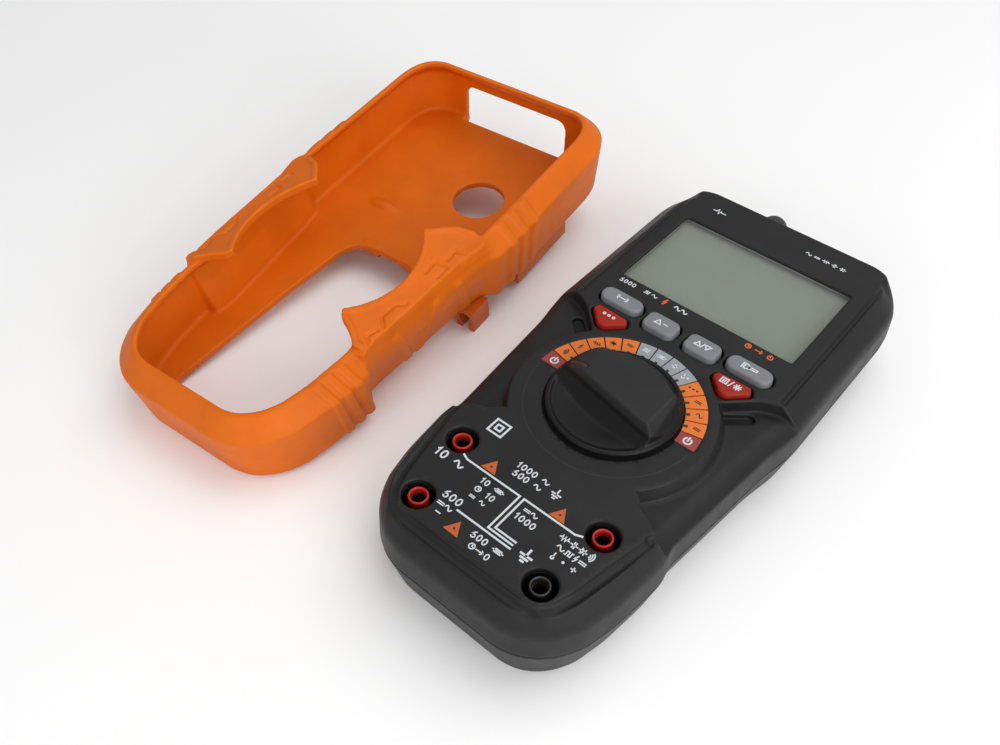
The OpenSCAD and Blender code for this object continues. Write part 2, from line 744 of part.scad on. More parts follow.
module holster_clips() {
  color("#c85a14") place_holster() both() difference() {
    union() {
      block(33.2, 40.4, lug_y, lug_y + 9, -lug_depth, 0);
      block(33.2, 40.4, lug_y + 27, lug_y + 58, -lug_depth, 0);
    }
    translate([36.8, lug_y - 4, -4.2]) rotate([-90, 0, 0]) cylinder(h = 66, r = 2.6);
    block(35.4, 38.2, lug_y - 4, lug_y + 62, -12, -4.4);
  }
}

front_case();
rear_case();
battery_door();
case_screws();
display_window();
lcd_panel();
backlight_plate();
lcd_holder();
zebra_strip();
main_pcb();
board_tracks();
chips();
keypad_membrane();
pcb_screws();
door_screw();
buzzer();
fuse_bodies();
fuse_caps();
fuse_clips();
battery_cells();
battery_contacts();
torch_led();
sensor_dome();
selector_knob();
knob_pointer();
selector_rotor();
rotor_wipers();
detent_ring();
detent_plungers();
scale_orange();
scale_grey();
scale_off();
key_range();
key_relative();
key_minmax();
key_torch();
key_select();
key_hold();
jack_tubes_red();
jack_tube_black();
jack_sleeves();
face_marks();
face_triangles();
holster_shell();
holster_clips();
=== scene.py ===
import math

import bpy
import numpy as np
from mathutils import Matrix, Vector


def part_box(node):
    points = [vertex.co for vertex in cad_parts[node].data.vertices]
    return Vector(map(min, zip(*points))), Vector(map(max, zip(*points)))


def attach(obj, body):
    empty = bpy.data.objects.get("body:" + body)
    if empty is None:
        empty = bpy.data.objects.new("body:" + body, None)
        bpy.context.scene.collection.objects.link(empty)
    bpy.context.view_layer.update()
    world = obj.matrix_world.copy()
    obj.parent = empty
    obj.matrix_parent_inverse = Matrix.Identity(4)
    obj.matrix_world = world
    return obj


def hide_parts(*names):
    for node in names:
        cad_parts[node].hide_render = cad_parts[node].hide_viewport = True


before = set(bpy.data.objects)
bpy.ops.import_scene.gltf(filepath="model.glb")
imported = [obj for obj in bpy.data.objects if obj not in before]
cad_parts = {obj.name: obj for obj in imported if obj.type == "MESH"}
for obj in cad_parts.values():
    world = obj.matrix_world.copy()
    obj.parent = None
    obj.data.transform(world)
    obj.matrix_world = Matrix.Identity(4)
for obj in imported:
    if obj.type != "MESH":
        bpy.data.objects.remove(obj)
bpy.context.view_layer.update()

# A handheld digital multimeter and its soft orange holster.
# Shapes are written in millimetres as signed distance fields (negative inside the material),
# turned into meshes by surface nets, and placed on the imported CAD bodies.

MM = 0.001


def node_box(name):
    """Lowest and highest corner of a CAD node in millimetres."""
    low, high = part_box(name)
    return np.array(low) / MM, np.array(high) / MM


# ---- sizes, millimetres

CASE_LOW, CASE_HIGH = node_box("front_case")
FACE_Z = float(CASE_HIGH[2])
SEAM_Z = float(node_box("rear_case")[1][2])
TOP_Y = float(CASE_HIGH[1])
BOTTOM_Y = float(-CASE_LOW[1])
HEAD_HALF = float(CASE_HIGH[0])
FOOT_HALF = HEAD_HALF - 5.1
WAIST_HALF = HEAD_HALF - 4.0
EDGE_Z = FACE_Z - 6.5
REAR_TAPER = 3.6
WALL = 2.2
FACE_T = 2.4
SEAM_GAP = 0.3

PAD_R = 29.4
RECESS_Z = FACE_Z - 4.6
BAND_RI, BAND_RO = 19.9, 26.0
CELL_STEP = math.radians(12)
LCD_W, LCD_H, LCD_Y = 60.0, 37.9, 65.35
WELL_R = 4.53
BOSSES = ((36.2, 84.0), (28.6, -47.5))
BOSS_R, SCREW_HEAD_R, SCREW_R = 4.2, 2.9, 1.6
JACKS = {
    "amps": (-23.45, -36.75),
    "milliamps": (-20.07, -57.37),
    "volts": (23.45, -36.75),
    "common": (20.07, -57.37),
}
PILLS = {
    "range": (-22.3, 35.2, 15.0, 6.6, 3.1),
    "relative": (-7.2, 34.0, 11.5, 7.8, 2.5),
    "minmax": (7.2, 34.0, 11.5, 7.8, 2.5),
    "torch": (22.3, 35.2, 15.0, 6.6, 3.1),
}
KEY_GAP = 0.35
RED_KEY = [(14.7, 26.9), (15.7, 29.3), (26.6, 29.8), (27.8, 27.2), (22.3, 21.8), (19.7, 21.9)]

KNOB_R = 19.3
KNOB_TURN = math.radians(-6)
GRIP_H = 7.0
NOSE_X, NOSE_FALL = -11.5, 0.48
MARK_X = -13.9
DOME_X, DOME_Z, DOME_R = -7.8, 24.8, 4.8

HOLSTER_H = 26.0
HOLSTER_BACK = 2.5
HOLSTER_OUT = 1.8
HOLSTER_TILT = math.radians(5.7)
HOLSTER_TURN = math.radians(5.5)
HOLSTER_AT = (-107.3, -4.5)
HEEL_Y = -(BOTTOM_Y + HOLSTER_OUT - 3)

# right half of the meter's outline at the seam, from the input end to the display end
HALF_OUTLINE = [
    (0, -BOTTOM_Y), (17, -BOTTOM_Y), (22.5, -BOTTOM_Y + 1.4), (27.2, -BOTTOM_Y + 4.4), (31, -62),
    (34.2, -56), (36.5, -46), (FOOT_HALF, -30), (FOOT_HALF - 0.6, -26), (WAIST_HALF - 2.3, -23.5),
    (WAIST_HALF - 0.4, -3.7), (WAIST_HALF + 1.7, 18), (HEAD_HALF - 0.8, 25.5), (HEAD_HALF, 31),
    (HEAD_HALF, 88), (HEAD_HALF - 0.9, 94), (HEAD_HALF - 3.4, 99.4), (HEAD_HALF - 7.4, TOP_Y - 2),
    (HEAD_HALF - 12.5, TOP_Y), (0, TOP_Y),
]
# right half of the recess beside the dial pad
RECESS_HALF = [
    (18, 15), (21.5, 19.3), (30.6, 28), (36, 30.2), (50, 30.2), (50, -24.5), (37.5, -27.5),
    (34, -28.6), (31.6, -26.4), (28.2, -24.4), (25.4, -23.6), (23.4, -20.6), (18, -19),
]
HEAD_GROOVE = [(35.8, 31.5), (35.8, 96.2)]
CORNER_SLOT = [(24.6, 19.0), (30.0, 23.6)]
FOOT_GROOVE = [
    (33.9, -28.4), (33.2, -32), (28.8, -54), (26.9, -60), (23.9, -63.6), (19.5, -65.0), (0, -65.3),
]


# ---- distance fields


def mirrored(half):
    """Whole outline from its right half, whose ends lie on the middle line."""
    return list(half) + [(-x, y) for x, y in reversed(half) if x > 0]


def flipped(points):
    return [(-x, y) for x, y in points]


def soften(points, reach, steps=5):
    """Closed outline with each corner replaced by a short curve."""
    pts = [np.array(p, float) for p in points]
    out = []
    for i, p in enumerate(pts):
        before, after = pts[i - 1] - p, pts[(i + 1) % len(pts)] - p
        near, far = np.linalg.norm(before), np.linalg.norm(after)
        a = p + before / near * min(reach, 0.48 * near)
        b = p + after / far * min(reach, 0.48 * far)
        for t in np.linspace(0, 1, steps):
            out.append((1 - t) ** 2 * a + 2 * t * (1 - t) * p + t * t * b)
    return out


def ramp(value, start, end):
    """0 before start, 1 after end, smooth between."""
    t = np.clip((value - start) / (end - start), 0, 1)
    return t * t * (3 - 2 * t)


def smax(a, b, k):
    """Intersection of two solids with the edge rounded over k."""
    h = np.clip(0.5 + 0.5 * (a - b) / k, 0, 1)
    return b + (a - b) * h + k * h * (1 - h)


def smin(a, b, k):
    """Union of two solids with the joint filled over k."""
    return -smax(-a, -b, k)


def sd_polygon(x, y, points):
    near = np.full(x.shape, 1e9, np.float32)
    sign = np.ones(x.shape, np.float32)
    for i in range(len(points)):
        ax, ay = (float(v) for v in points[i])
        bx, by = (float(v) for v in points[i - 1])
        ex, ey = bx - ax, by - ay
        wx, wy = x - ax, y - ay
        t = np.clip((wx * ex + wy * ey) / (ex * ex + ey * ey + 1e-12), 0, 1)
        near = np.minimum(near, (wx - ex * t) ** 2 + (wy - ey * t) ** 2)
        above, below, left = y >= ay, y < by, ex * wy > ey * wx
        sign = np.where((above & below & left) | (~above & ~below & ~left), -sign, sign)
    return sign * np.sqrt(near)


def sd_polyline(x, y, points):
    near = np.full(x.shape, 1e9, np.float32)
    for (ax, ay), (bx, by) in zip(points[:-1], points[1:]):
        ex, ey = bx - ax, by - ay
        wx, wy = x - ax, y - ay
        t = np.clip((wx * ex + wy * ey) / (ex * ex + ey * ey + 1e-12), 0, 1)
        near = np.minimum(near, (wx - ex * t) ** 2 + (wy - ey * t) ** 2)
    return np.sqrt(near)


def sd_rounded(x, y, cx, cy, w, h, r):
    qx = np.abs(x - cx) - (w / 2 - r)
    qy = np.abs(y - cy) - (h / 2 - r)
    return np.hypot(np.maximum(qx, 0), np.maximum(qy, 0)) + np.minimum(np.maximum(qx, qy), 0) - r


def both_sides(grid, measure, points):
    """Distance in plan to a shape on the right or to its mirror image on the left."""
    right, left = (measure(grid.x2, grid.y2, side) for side in (points, flipped(points)))
    return np.minimum(right, left)[:, :, None]


class Grid:
    """Regular samples of a box, with x, y and z ready to broadcast."""

    def __init__(self, low, high, pitch):
        self.pitch = pitch
        self.low = np.array(low, float) - 2 * pitch
        axes = [np.arange(self.low[i], high[i] + 2.5 * pitch, pitch, dtype=np.float32) for i in range(3)]
        self.x2, self.y2 = np.meshgrid(axes[0], axes[1], indexing="ij")
        self.x, self.y = self.x2[:, :, None], self.y2[:, :, None]
        self.z = axes[2][None, None, :]


def surface(grid, field):
    """Surface nets: one vertex per cell that the surface crosses, one quad per grid edge that it cuts."""
    full = np.broadcast_shapes(field.shape, grid.x.shape, grid.z.shape)
    field = np.ascontiguousarray(np.broadcast_to(field, full))
    inside = field < 0
    n = [s - 1 for s in field.shape]

    def corner(array, dx, dy, dz):
        return array[dx:dx + n[0], dy:dy + n[1], dz:dz + n[2]]

    count = np.zeros(n, np.int8)
    for dx in (0, 1):
        for dy in (0, 1):
            for dz in (0, 1):
                count += corner(inside, dx, dy, dz)
    cells = np.argwhere((count > 0) & (count < 8))
    index = np.full(n, -1, np.int64)
    index[tuple(cells.T)] = np.arange(len(cells))
    total = np.zeros((len(cells), 3))
    hits = np.zeros(len(cells))
    ci, cj, ck = cells.T
    for axis in range(3):
        others = [a for a in range(3) if a != axis]
        for u in (0, 1):
            for v in (0, 1):
                start = [0, 0, 0]
                start[others[0]], start[others[1]] = u, v
                end = list(start)
                end[axis] = 1
                fa = field[ci + start[0], cj + start[1], ck + start[2]]
                fb = field[ci + end[0], cj + end[1], ck + end[2]]
                cut = (fa < 0) != (fb < 0)
                t = np.where(cut, fa / np.where(cut, fa - fb, 1), 0)
                place = np.tile(np.array(start, float), (len(cells), 1))
                place[:, axis] += t
                total[cut] += place[cut]
                hits += cut
    verts = (cells + total / hits[:, None]) * grid.pitch + grid.low
    quads = []
    for axis in range(3):
        u, v = [a for a in range(3) if a != axis]
        lo = [slice(1, None)] * 3
        hi = [slice(1, None)] * 3
        lo[axis], hi[axis] = slice(0, -1), slice(1, None)
        lo[u] = hi[u] = slice(1, field.shape[u] - 1)
        lo[v] = hi[v] = slice(1, field.shape[v] - 1)
        a, b = inside[tuple(lo)], inside[tuple(hi)]
        at = np.argwhere(a != b)
        if not len(at):
            continue
        leaving = a[tuple(at.T)]
        ring = []
        for du, dv in ((0, 0), (1, 0), (1, 1), (0, 1)):
            cell = at.copy()
            cell[:, u] += du
            cell[:, v] += dv
            ring.append(index[tuple(cell.T)])
        quad = np.stack(ring, 1)
        flip = leaving if axis == 1 else ~leaving
        quad[flip] = quad[flip][:, ::-1]
        quads.append(quad)
    return verts, np.concatenate(quads)


# ---- meshes and bodies


def new_object(name, verts, faces, material, body, replaces=(), smooth=True, matrix=None):
    """A mesh from vertices in millimetres that rides on a CAD body."""
    verts = np.asarray(verts, float) * MM
    if matrix is not None:
        m = np.array(matrix)
        verts = verts @ m[:3, :3].T + m[:3, 3]
    mesh = bpy.data.meshes.new(name)
    if isinstance(faces, np.ndarray) and faces.ndim == 2:
        mesh.vertices.add(len(verts))
        mesh.vertices.foreach_set("co", verts.astype(np.float32).ravel())
        mesh.loops.add(faces.size)
        mesh.loops.foreach_set("vertex_index", faces.astype(np.int32).ravel())
        mesh.polygons.add(len(faces))
        mesh.polygons.foreach_set("loop_start", np.arange(0, faces.size, faces.shape[1], dtype=np.int32))
        mesh.polygons.foreach_set("loop_total", np.full(len(faces), faces.shape[1], np.int32))
        mesh.update(calc_edges=True)
    else:
        mesh.from_pydata([tuple(v) for v in verts], [], [tuple(int(i) for i in f) for f in faces])
    mesh.validate()
    mesh.polygons.foreach_set("use_smooth", np.full(len(mesh.polygons), smooth))
    mesh.materials.append(material)
    obj = bpy.data.objects.new(name, mesh)
    bpy.context.scene.collection.objects.link(obj)
    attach(obj, body)
    if replaces:
        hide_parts(*replaces)
    return obj


def thin_out(obj, keep):
    """Collapses edges where the surface is flat, leaving this share of the faces."""
    mod = obj.modifiers.new("thin", "DECIMATE")
    mod.ratio = keep
    mod.use_collapse_triangulate = True
    depsgraph = bpy.context.evaluated_depsgraph_get()
    mesh = bpy.data.meshes.new_from_object(obj.evaluated_get(depsgraph))
    obj.modifiers.clear()
    old = obj.data
    obj.data = mesh
    bpy.data.meshes.remove(old)
    mesh.polygons.foreach_set("use_smooth", np.ones(len(mesh.polygons), bool))


# ---- materials


def linear(rgb):
    """sRGB 0 to 255 as the linear colour Blender wants."""
    out = [v / 255 for v in rgb]
    return [v / 12.92 if v <= 0.04045 else ((v + 0.055) / 1.055) ** 2.4 for v in out]


class Finish:
    """A procedural material under construction: a Principled shader with helpers for its inputs."""

    def __init__(self, name, **fixed):
        self.mat = bpy.data.materials.new(name)
        self.mat.use_nodes = True
        self.tree = self.mat.node_tree
        self.shader = self.tree.nodes["Principled BSDF"]
        for socket, value in fixed.items():
            self.shader.inputs[socket.replace("_", " ")].default_value = value
        self.place = self.tree.nodes.new("ShaderNodeTexCoord").outputs["Object"]

    def node(self, kind, inputs=None, **settings):
        made = self.tree.nodes.new(kind)
        for key, value in settings.items():
            setattr(made, key, value)
        for key, value in (inputs or {}).items():
            if isinstance(value, bpy.types.NodeSocket):
                self.tree.links.new(value, made.inputs[key])
            else:
                made.inputs[key].default_value = value
        return made

    def noise(self, size, detail=3.0, rough=0.55, stretch=None):
        """Noise 0 to 1 whose features are size millimetres."""
        place = self.place
        if stretch:
            place = self.node("ShaderNodeMapping", {"Vector": place, "Scale": stretch}).outputs[0]
        inputs = {"Vector": place, "Scale": 1 / (size * MM), "Detail": detail, "Roughness": rough}
        return self.node("ShaderNodeTexNoise", inputs).outputs["Fac"]

    def spread(self, value, low, high, start=0.3, end=0.7):
        inputs = {"Value": value, "From Min": start, "From Max": end, "To Min": low, "To Max": high}
        return self.node("ShaderNodeMapRange", inputs).outputs[0]

    def colours(self, value, stops):
        ramp_node = self.node("ShaderNodeValToRGB", {"Fac": value})
        ramp_node.color_ramp.elements[0].position = stops[0][0]
        ramp_node.color_ramp.elements[0].color = (*linear(stops[0][1]), 1)
        ramp_node.color_ramp.elements[1].position = stops[-1][0]
        ramp_node.color_ramp.elements[1].color = (*linear(stops[-1][1]), 1)
        for at, rgb in stops[1:-1]:
            ramp_node.color_ramp.elements.new(at).color = (*linear(rgb), 1)
        return ramp_node.outputs["Color"]

    def mix(self, factor, a, b):
        made = self.node("ShaderNodeMix", data_type="RGBA")
        for key, value in ((0, factor), (6, a), (7, b)):
            if isinstance(value, bpy.types.NodeSocket):
                self.tree.links.new(value, made.inputs[key])
            else:
                made.inputs[key].default_value = value
        return made.outputs[2]

    def bump(self, height, depth):
        """Height 0 to 1 raised by depth millimetres."""
        inputs = {"Height": height, "Strength": 1.0, "Distance": depth * MM}
        return self.node("ShaderNodeBump", inputs).outputs[0]

    def set(self, **links):
        for socket, value in links.items():
            self.tree.links.new(value, self.shader.inputs[socket.replace("_", " ")])
        return self.mat


def shade(rgb, factor):
    return tuple(min(255, v * factor) for v in rgb)


def moulded(name, rgb, rough, grain=0.35, depth=0.02, vary=0.08, wear=0.0, **fixed):
    """Injection moulded plastic or rubber: spark-eroded grain, faint clouding and lighter worn edges."""
    f = Finish(name, **fixed)
    cloud = f.noise(14, 4)
    colour = f.colours(cloud, [(0.3, shade(rgb, 1 - vary)), (0.7, shade(rgb, 1 + vary))])
    if wear:
        edge = f.node("ShaderNodeNewGeometry").outputs["Pointiness"]
        worn = f.spread(edge, 0.0, wear, 0.515, 0.56)
        patches = f.spread(f.noise(3.5), 0.35, 1.0)
        patchy = f.node("ShaderNodeMath", {0: worn, 1: patches}, operation="MULTIPLY")
        colour = f.mix(patchy.outputs[0], colour, (*linear(shade(rgb, 1.9)), 1))
    fine = f.noise(grain, 2, 0.6)
    gloss = f.spread(f.noise(5, 3), rough - 0.04, rough + 0.05)
    return f.set(Base_Color=colour, Roughness=gloss, Normal=f.bump(fine, depth))


def plastic_with_painted_shade(name, above, below, height, rough):
    """Satin plastic whose colour goes darker below a height in millimetres: painted shade for the shadowed
    flank and dish.
    """
    f = Finish(name, Specular_IOR_Level=0.24)
    z = f.node("ShaderNodeSeparateXYZ", {"Vector": f.place}).outputs["Z"]
    upper = f.spread(z, 0, 1, (height - 0.4) * MM, (height + 0.4) * MM)
    cloud = f.noise(14, 4)
    satin = f.colours(cloud, [(0.3, shade(above, 0.92)), (0.7, shade(above, 1.08))])
    # painted shade: the darker lower colour stands in for the shadow on the flank and in the dish
    smooth = f.colours(cloud, [(0.3, shade(below, 0.9)), (0.7, shade(below, 1.1))])
    gloss = f.spread(f.noise(5, 3), rough - 0.04, rough + 0.05)
    colour = f.mix(upper, smooth, satin)
    return f.set(Base_Color=colour, Roughness=gloss, Normal=f.bump(f.noise(0.3, 2, 0.6), 0.01))


def ink(name, rgb, rough=0.55):
    """Pad-printed ink: small breaks in coverage and a slightly uneven edge of gloss."""
    f = Finish(name)
    thin = f.noise(0.22, 3)
    colour = f.colours(thin, [(0.25, shade(rgb, 0.84)), (0.5, rgb), (0.75, shade(rgb, 1.05))])
    gloss = f.spread(f.noise(0.6), rough - 0.06, rough + 0.06)
    return f.set(Base_Color=colour, Roughness=gloss, Normal=f.bump(thin, 0.006))


def metal(name, rgb, rough):
    """Turned or rolled metal with fine tool marks and dull patches."""
    f = Finish(name, Metallic=1.0)
    lines = f.noise(0.9, 4, 0.6, (1, 1, 12))
    colour = f.colours(f.noise(2.5), [(0.3, shade(rgb, 0.86)), (0.7, rgb)])
    gloss = f.spread(lines, rough - 0.08, rough + 0.1)
    return f.set(Base_Color=colour, Roughness=gloss, Normal=f.bump(lines, 0.01))


def glass_epoxy(name):
    """Circuit board: solder mask over woven glass with a faint copper pattern under it."""
    f = Finish(name)
    cells = f.node(
        "ShaderNodeTexVoronoi", {"Vector": f.place, "Scale": 260.0}, feature="F1", distance="MANHATTAN"
    ).outputs["Distance"]
    tracks = f.spread(cells, 0, 1, 0.42, 0.46)
    colour = f.mix(tracks, (*linear((28, 84, 46)), 1), (*linear((52, 122, 66)), 1))
    gloss = f.spread(f.noise(1.2), 0.3, 0.42)
    return f.set(Base_Color=colour, Roughness=gloss, Normal=f.bump(tracks, 0.03))


def display_film(name):
    """Unlit liquid crystal glass: flat grey-green with a faint fine speckle from its polariser."""
    f = Finish(name, Specular_IOR_Level=0.25)
    cloud = f.noise(30, 2)
    colour = f.colours(cloud, [(0.2, (112, 120, 107)), (0.8, (117, 125, 112))])
    gloss = f.spread(f.noise(0.3), 0.42, 0.5)
    return f.set(Base_Color=colour, Roughness=gloss, Normal=f.bump(f.noise(0.12), 0.002))


def clear_window(name):
    """Thin clear acrylic: it shows what lies below and takes a soft reflection."""
    f = Finish(name, Alpha=0.05, IOR=1.49, Specular_IOR_Level=0.25)
    colour = f.colours(f.noise(20), [(0.3, (205, 212, 205)), (0.7, (222, 228, 222))])
    gloss = f.spread(f.noise(6), 0.22, 0.3)
    return f.set(Base_Color=colour, Roughness=gloss, Normal=f.bump(f.noise(8, 1), 0.004))


CASE = moulded(
    "case_plastic", (33, 33, 33), 0.44, grain=0.3, depth=0.016, wear=0.12, Specular_IOR_Level=0.2
)
REAR = moulded(
    "rear_plastic", (44, 44, 44), 0.48, grain=0.34, depth=0.018, wear=0.12, Specular_IOR_Level=0.24
)
# the knob's own plastic on top, with painted shade below 5 mm above the face
KNOB = plastic_with_painted_shade("knob_plastic", (37, 37, 37), (14, 14, 14), FACE_Z + 5.0, 0.42)
DOME = moulded("dome_plastic", (44, 44, 46), 0.38, grain=0.35, depth=0.01)
WELL = moulded("well_plastic", (13, 13, 12), 0.5, grain=0.4, depth=0.01)
ORANGE = moulded(
    "holster_elastomer", (210, 99, 6), 0.5, grain=0.4, depth=0.012, vary=0.03, wear=0.06,
    Specular_IOR_Level=0.2,
)
LUG_ORANGE = moulded("lug_elastomer", (196, 88, 12), 0.5, grain=0.4, depth=0.012, vary=0.04)
SILICONE = {"grain": 0.25, "depth": 0.004, "Specular_IOR_Level": 0.25}
KEY_GREY = moulded("key_silicone", (120, 122, 125), 0.55, vary=0.02, **SILICONE)
KEY_RED = moulded("key_red_silicone", (150, 30, 16), 0.52, vary=0.04, **SILICONE)
JACK_RED = moulded("jack_red_nylon", (168, 22, 18), 0.36, grain=0.4, depth=0.006, vary=0.06)
JACK_BLACK = moulded("jack_black_nylon", (30, 30, 30), 0.36, grain=0.4, depth=0.006, vary=0.06)
PRINT_WHITE = ink("ink_white", (206, 212, 216))
PRINT_BLACK = ink("ink_black", (44, 26, 16))
PRINT_ORANGE = ink("ink_orange", (222, 112, 24))
PRINT_GREY = ink("ink_grey", (148, 151, 156))
PRINT_OFF = ink("ink_dark_red", (146, 52, 50))
PRINT_AMBER = ink("ink_amber", (186, 84, 26))
PRINT_TITLE = ink("ink_title_orange", (226, 96, 34))
# red pointer ink with painted shade: its colour is darkened to red-brown for the shade it lies in on the
# grip
SHADED_POINTER_INK = ink("ink_pointer_painted_shade", (62, 24, 20))

CARRIED = {
    "case_screws": metal("screw_steel", (190, 192, 196), 0.34),
    "door_screw": metal("door_screw_steel", (186, 188, 192), 0.34),
    "pcb_screws": metal("board_screw_steel", (196, 198, 202), 0.32),
    "battery_door": moulded("door_plastic", (54, 54, 54), 0.46, grain=0.34, depth=0.02),
    "display_window": clear_window("window_acrylic"),
    "lcd_panel": display_film("lcd_film"),
    "backlight_plate": moulded("light_guide", (232, 236, 232), 0.3, grain=0.5, depth=0.004, vary=0.02),
    "lcd_holder": moulded("holder_abs", (216, 216, 208), 0.5, vary=0.03),
    "zebra_strip": moulded("zebra_rubber", (42, 42, 46), 0.7, vary=0.2),
    "main_pcb": glass_epoxy("board_laminate"),
    "board_tracks": metal("contact_gold", (224, 178, 92), 0.28),
    "chips": moulded("chip_epoxy", (30, 30, 32), 0.6, grain=0.2),
    "keypad_membrane": moulded("membrane_silicone", (52, 54, 56), 0.6, vary=0.05),
    "buzzer": moulded("buzzer_abs", (38, 38, 42), 0.4),
    "fuse_bodies": moulded("fuse_ceramic", (230, 224, 210), 0.35, vary=0.03),
    "fuse_caps": metal("fuse_nickel", (206, 208, 210), 0.25),
    "fuse_clips": metal("clip_bronze", (204, 160, 92), 0.34),
    "battery_cells": moulded("cell_sleeve", (66, 82, 126), 0.34, vary=0.06),
    "battery_contacts": metal("spring_steel", (208, 210, 212), 0.3),
    "torch_led": moulded("led_epoxy", (240, 240, 228), 0.2, vary=0.02),
    "selector_rotor": moulded("rotor_acetal", (232, 228, 216), 0.45, vary=0.02),
    "rotor_wipers": metal("wiper_gold", (220, 172, 90), 0.3),
    "detent_ring": moulded("detent_acetal", (92, 94, 98), 0.45),
    "detent_plungers": metal("plunger_steel", (196, 198, 202), 0.28),
    "scale_orange": PRINT_ORANGE,
    "scale_grey": PRINT_GREY,
    "scale_off": PRINT_OFF,
    "jack_sleeves": metal("sleeve_brass", (196, 158, 84), 0.3),
    "face_marks": PRINT_WHITE,
    "face_triangles": PRINT_AMBER,
    "holster_clips": LUG_ORANGE,
}
for node_name, finish in CARRIED.items():
    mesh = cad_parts[node_name].data
    mesh.materials.clear()
    mesh.materials.append(finish)


# ---- meter case

SEAM_OUTLINE = soften(mirrored(HALF_OUTLINE), 2.6)


def side_wall(grid):
    """Distance to the outline at the seam."""
    return sd_polygon(grid.x2, grid.y2, SEAM_OUTLINE)[:, :, None]


def recess_cut(grid, outline):
    """Volume taken out of the face beside the dial pad, on both sides."""
    plan = both_sides(grid, sd_polygon, soften(RECESS_HALF, 1.6))
    radius = np.hypot(grid.x, grid.y)
    cone = PAD_R + 1.95 - 0.346 * (grid.z - RECESS_Z + 1)
    pad = (radius - cone) * 0.945
    fall = np.clip((outline + 6.6) / 6.0, 0, 1)
    floor = RECESS_Z - 2.4 * fall * fall
    return smax(smax(plan, -pad, 0.6), floor - grid.z, 0.9)


def front_case():
    grid = Grid((-HEAD_HALF, -BOTTOM_Y, SEAM_Z), (HEAD_HALF, TOP_Y, FACE_Z), 0.4)
    x, y, z = grid.x, grid.y, grid.z
    outline = side_wall(grid)
    head = ramp(y, 4, 30)
    wall = outline + 0.055 * (z - SEAM_Z)
    end = ramp(y, TOP_Y - 10, TOP_Y - 4)
    reach = 4.6 + 2.4 * head - 4.0 * end
    slope = ((outline + 0.5) * (FACE_Z - EDGE_Z) + (z - EDGE_Z) * (reach - 0.5)) / np.hypot(
        FACE_Z - EDGE_Z, reach - 0.5
    )
    body = smax(smax(wall, slope, 1.0 + 0.5 * head * (1 - end)), z - FACE_Z, 0.55)

    # the recess with its corner slots, where the holster grips lie
    recess = recess_cut(grid, outline)
    slots = both_sides(grid, sd_polyline, CORNER_SLOT) - 1.7
    recess = np.minimum(recess, smax(slots, RECESS_Z - 1.5 - z, 0.4))
    body = smax(body, -recess, 0.35)

    # grooves that frame the face of the head and of the foot
    head_line = both_sides(grid, sd_polyline, HEAD_GROOVE)
    body = smax(body, 0.95 - np.hypot(head_line, z - FACE_Z), 0.15)
    for sx in (-1, 1):
        end = np.sqrt((x - sx * 35.7) ** 2 + (y - 96) ** 2 + (z - FACE_Z + 0.2) ** 2)
        body = smax(body, 1.15 - end, 0.2)
    foot_line = both_sides(grid, sd_polyline, FOOT_GROOVE)
    deep = ramp(-y, 52, 64)
    groove = np.hypot(foot_line, z - FACE_Z - 0.1) - 1.75 - 0.35 * deep
    body = smax(body, -groove, 0.25)
    for sx in (-1, 1):
        end = np.sqrt((x - sx * 33.2) ** 2 + (y + 29.8) ** 2 + (z - FACE_Z + 0.3) ** 2)
        body = smax(body, 1.7 - end, 0.3)
        dimple = np.sqrt((x - sx * 23.4) ** 2 + (y + 66.6) ** 2 + (z - FACE_Z - 0.6) ** 2)
        body = smax(body, 3.2 - dimple, 1.6)

    # openings for the dial, the keys, the jacks and the display
    radius = np.hypot(x, y)
    body = smax(body, -smax(radius - 19.75, FACE_Z - 0.7 - z, 0.1), 0.15)
    body = np.maximum(body, 15.06 - radius)
    band = np.maximum(np.maximum(radius - BAND_RO - 0.04, BAND_RI - 0.02 - radius), FACE_Z - 0.3 - z)
    body = np.maximum(body, -np.maximum(band, -y))
    for kx, ky, kw, kh, corner in PILLS.values():
        opening = sd_rounded(grid.x2, grid.y2, kx, ky, kw + 2 * KEY_GAP, kh + 2 * KEY_GAP, corner + KEY_GAP)
        body = smax(body, -opening[:, :, None], 0.35)
    for points in (RED_KEY, flipped(RED_KEY)):
        opening = sd_polygon(grid.x2, grid.y2, soften(points, 0.8)) - KEY_GAP
        body = smax(body, -opening[:, :, None], 0.35)
    for jx, jy in JACKS.values():
        body = smax(body, WELL_R - np.hypot(x - jx, y - jy), 0.4)
    window = sd_rounded(grid.x2, grid.y2, 0, LCD_Y, LCD_W, LCD_H, 0.6)[:, :, None]
    body = smax(body, -window, 0.25)
    rebate = sd_rounded(grid.x2, grid.y2, 0, LCD_Y, LCD_W + 2.4, LCD_H + 2.5, 0.4)[:, :, None]
    body = np.maximum(body, -np.maximum(rebate, z - FACE_Z + FACE_T - 1.3))
    port = np.maximum(np.hypot(x - DOME_X, z - DOME_Z) - DOME_R - 0.12, TOP_Y - 5.7 - y)
    body = smax(body, -port, 0.3)

    # hollow inside
    inner = np.maximum(np.maximum(wall + WALL, slope + WALL), z - FACE_Z + FACE_T)
    inner = np.maximum(np.maximum(inner, WALL - recess), 1.1 - groove)
    body = np.maximum(body, -inner)
    body = smax(body, SEAM_Z + SEAM_GAP - z, 0.5)
    verts, quads = surface(grid, body)
    thin_out(new_object("case_top", verts, quads, CASE, "meter", ["front_case"]), 0.4)


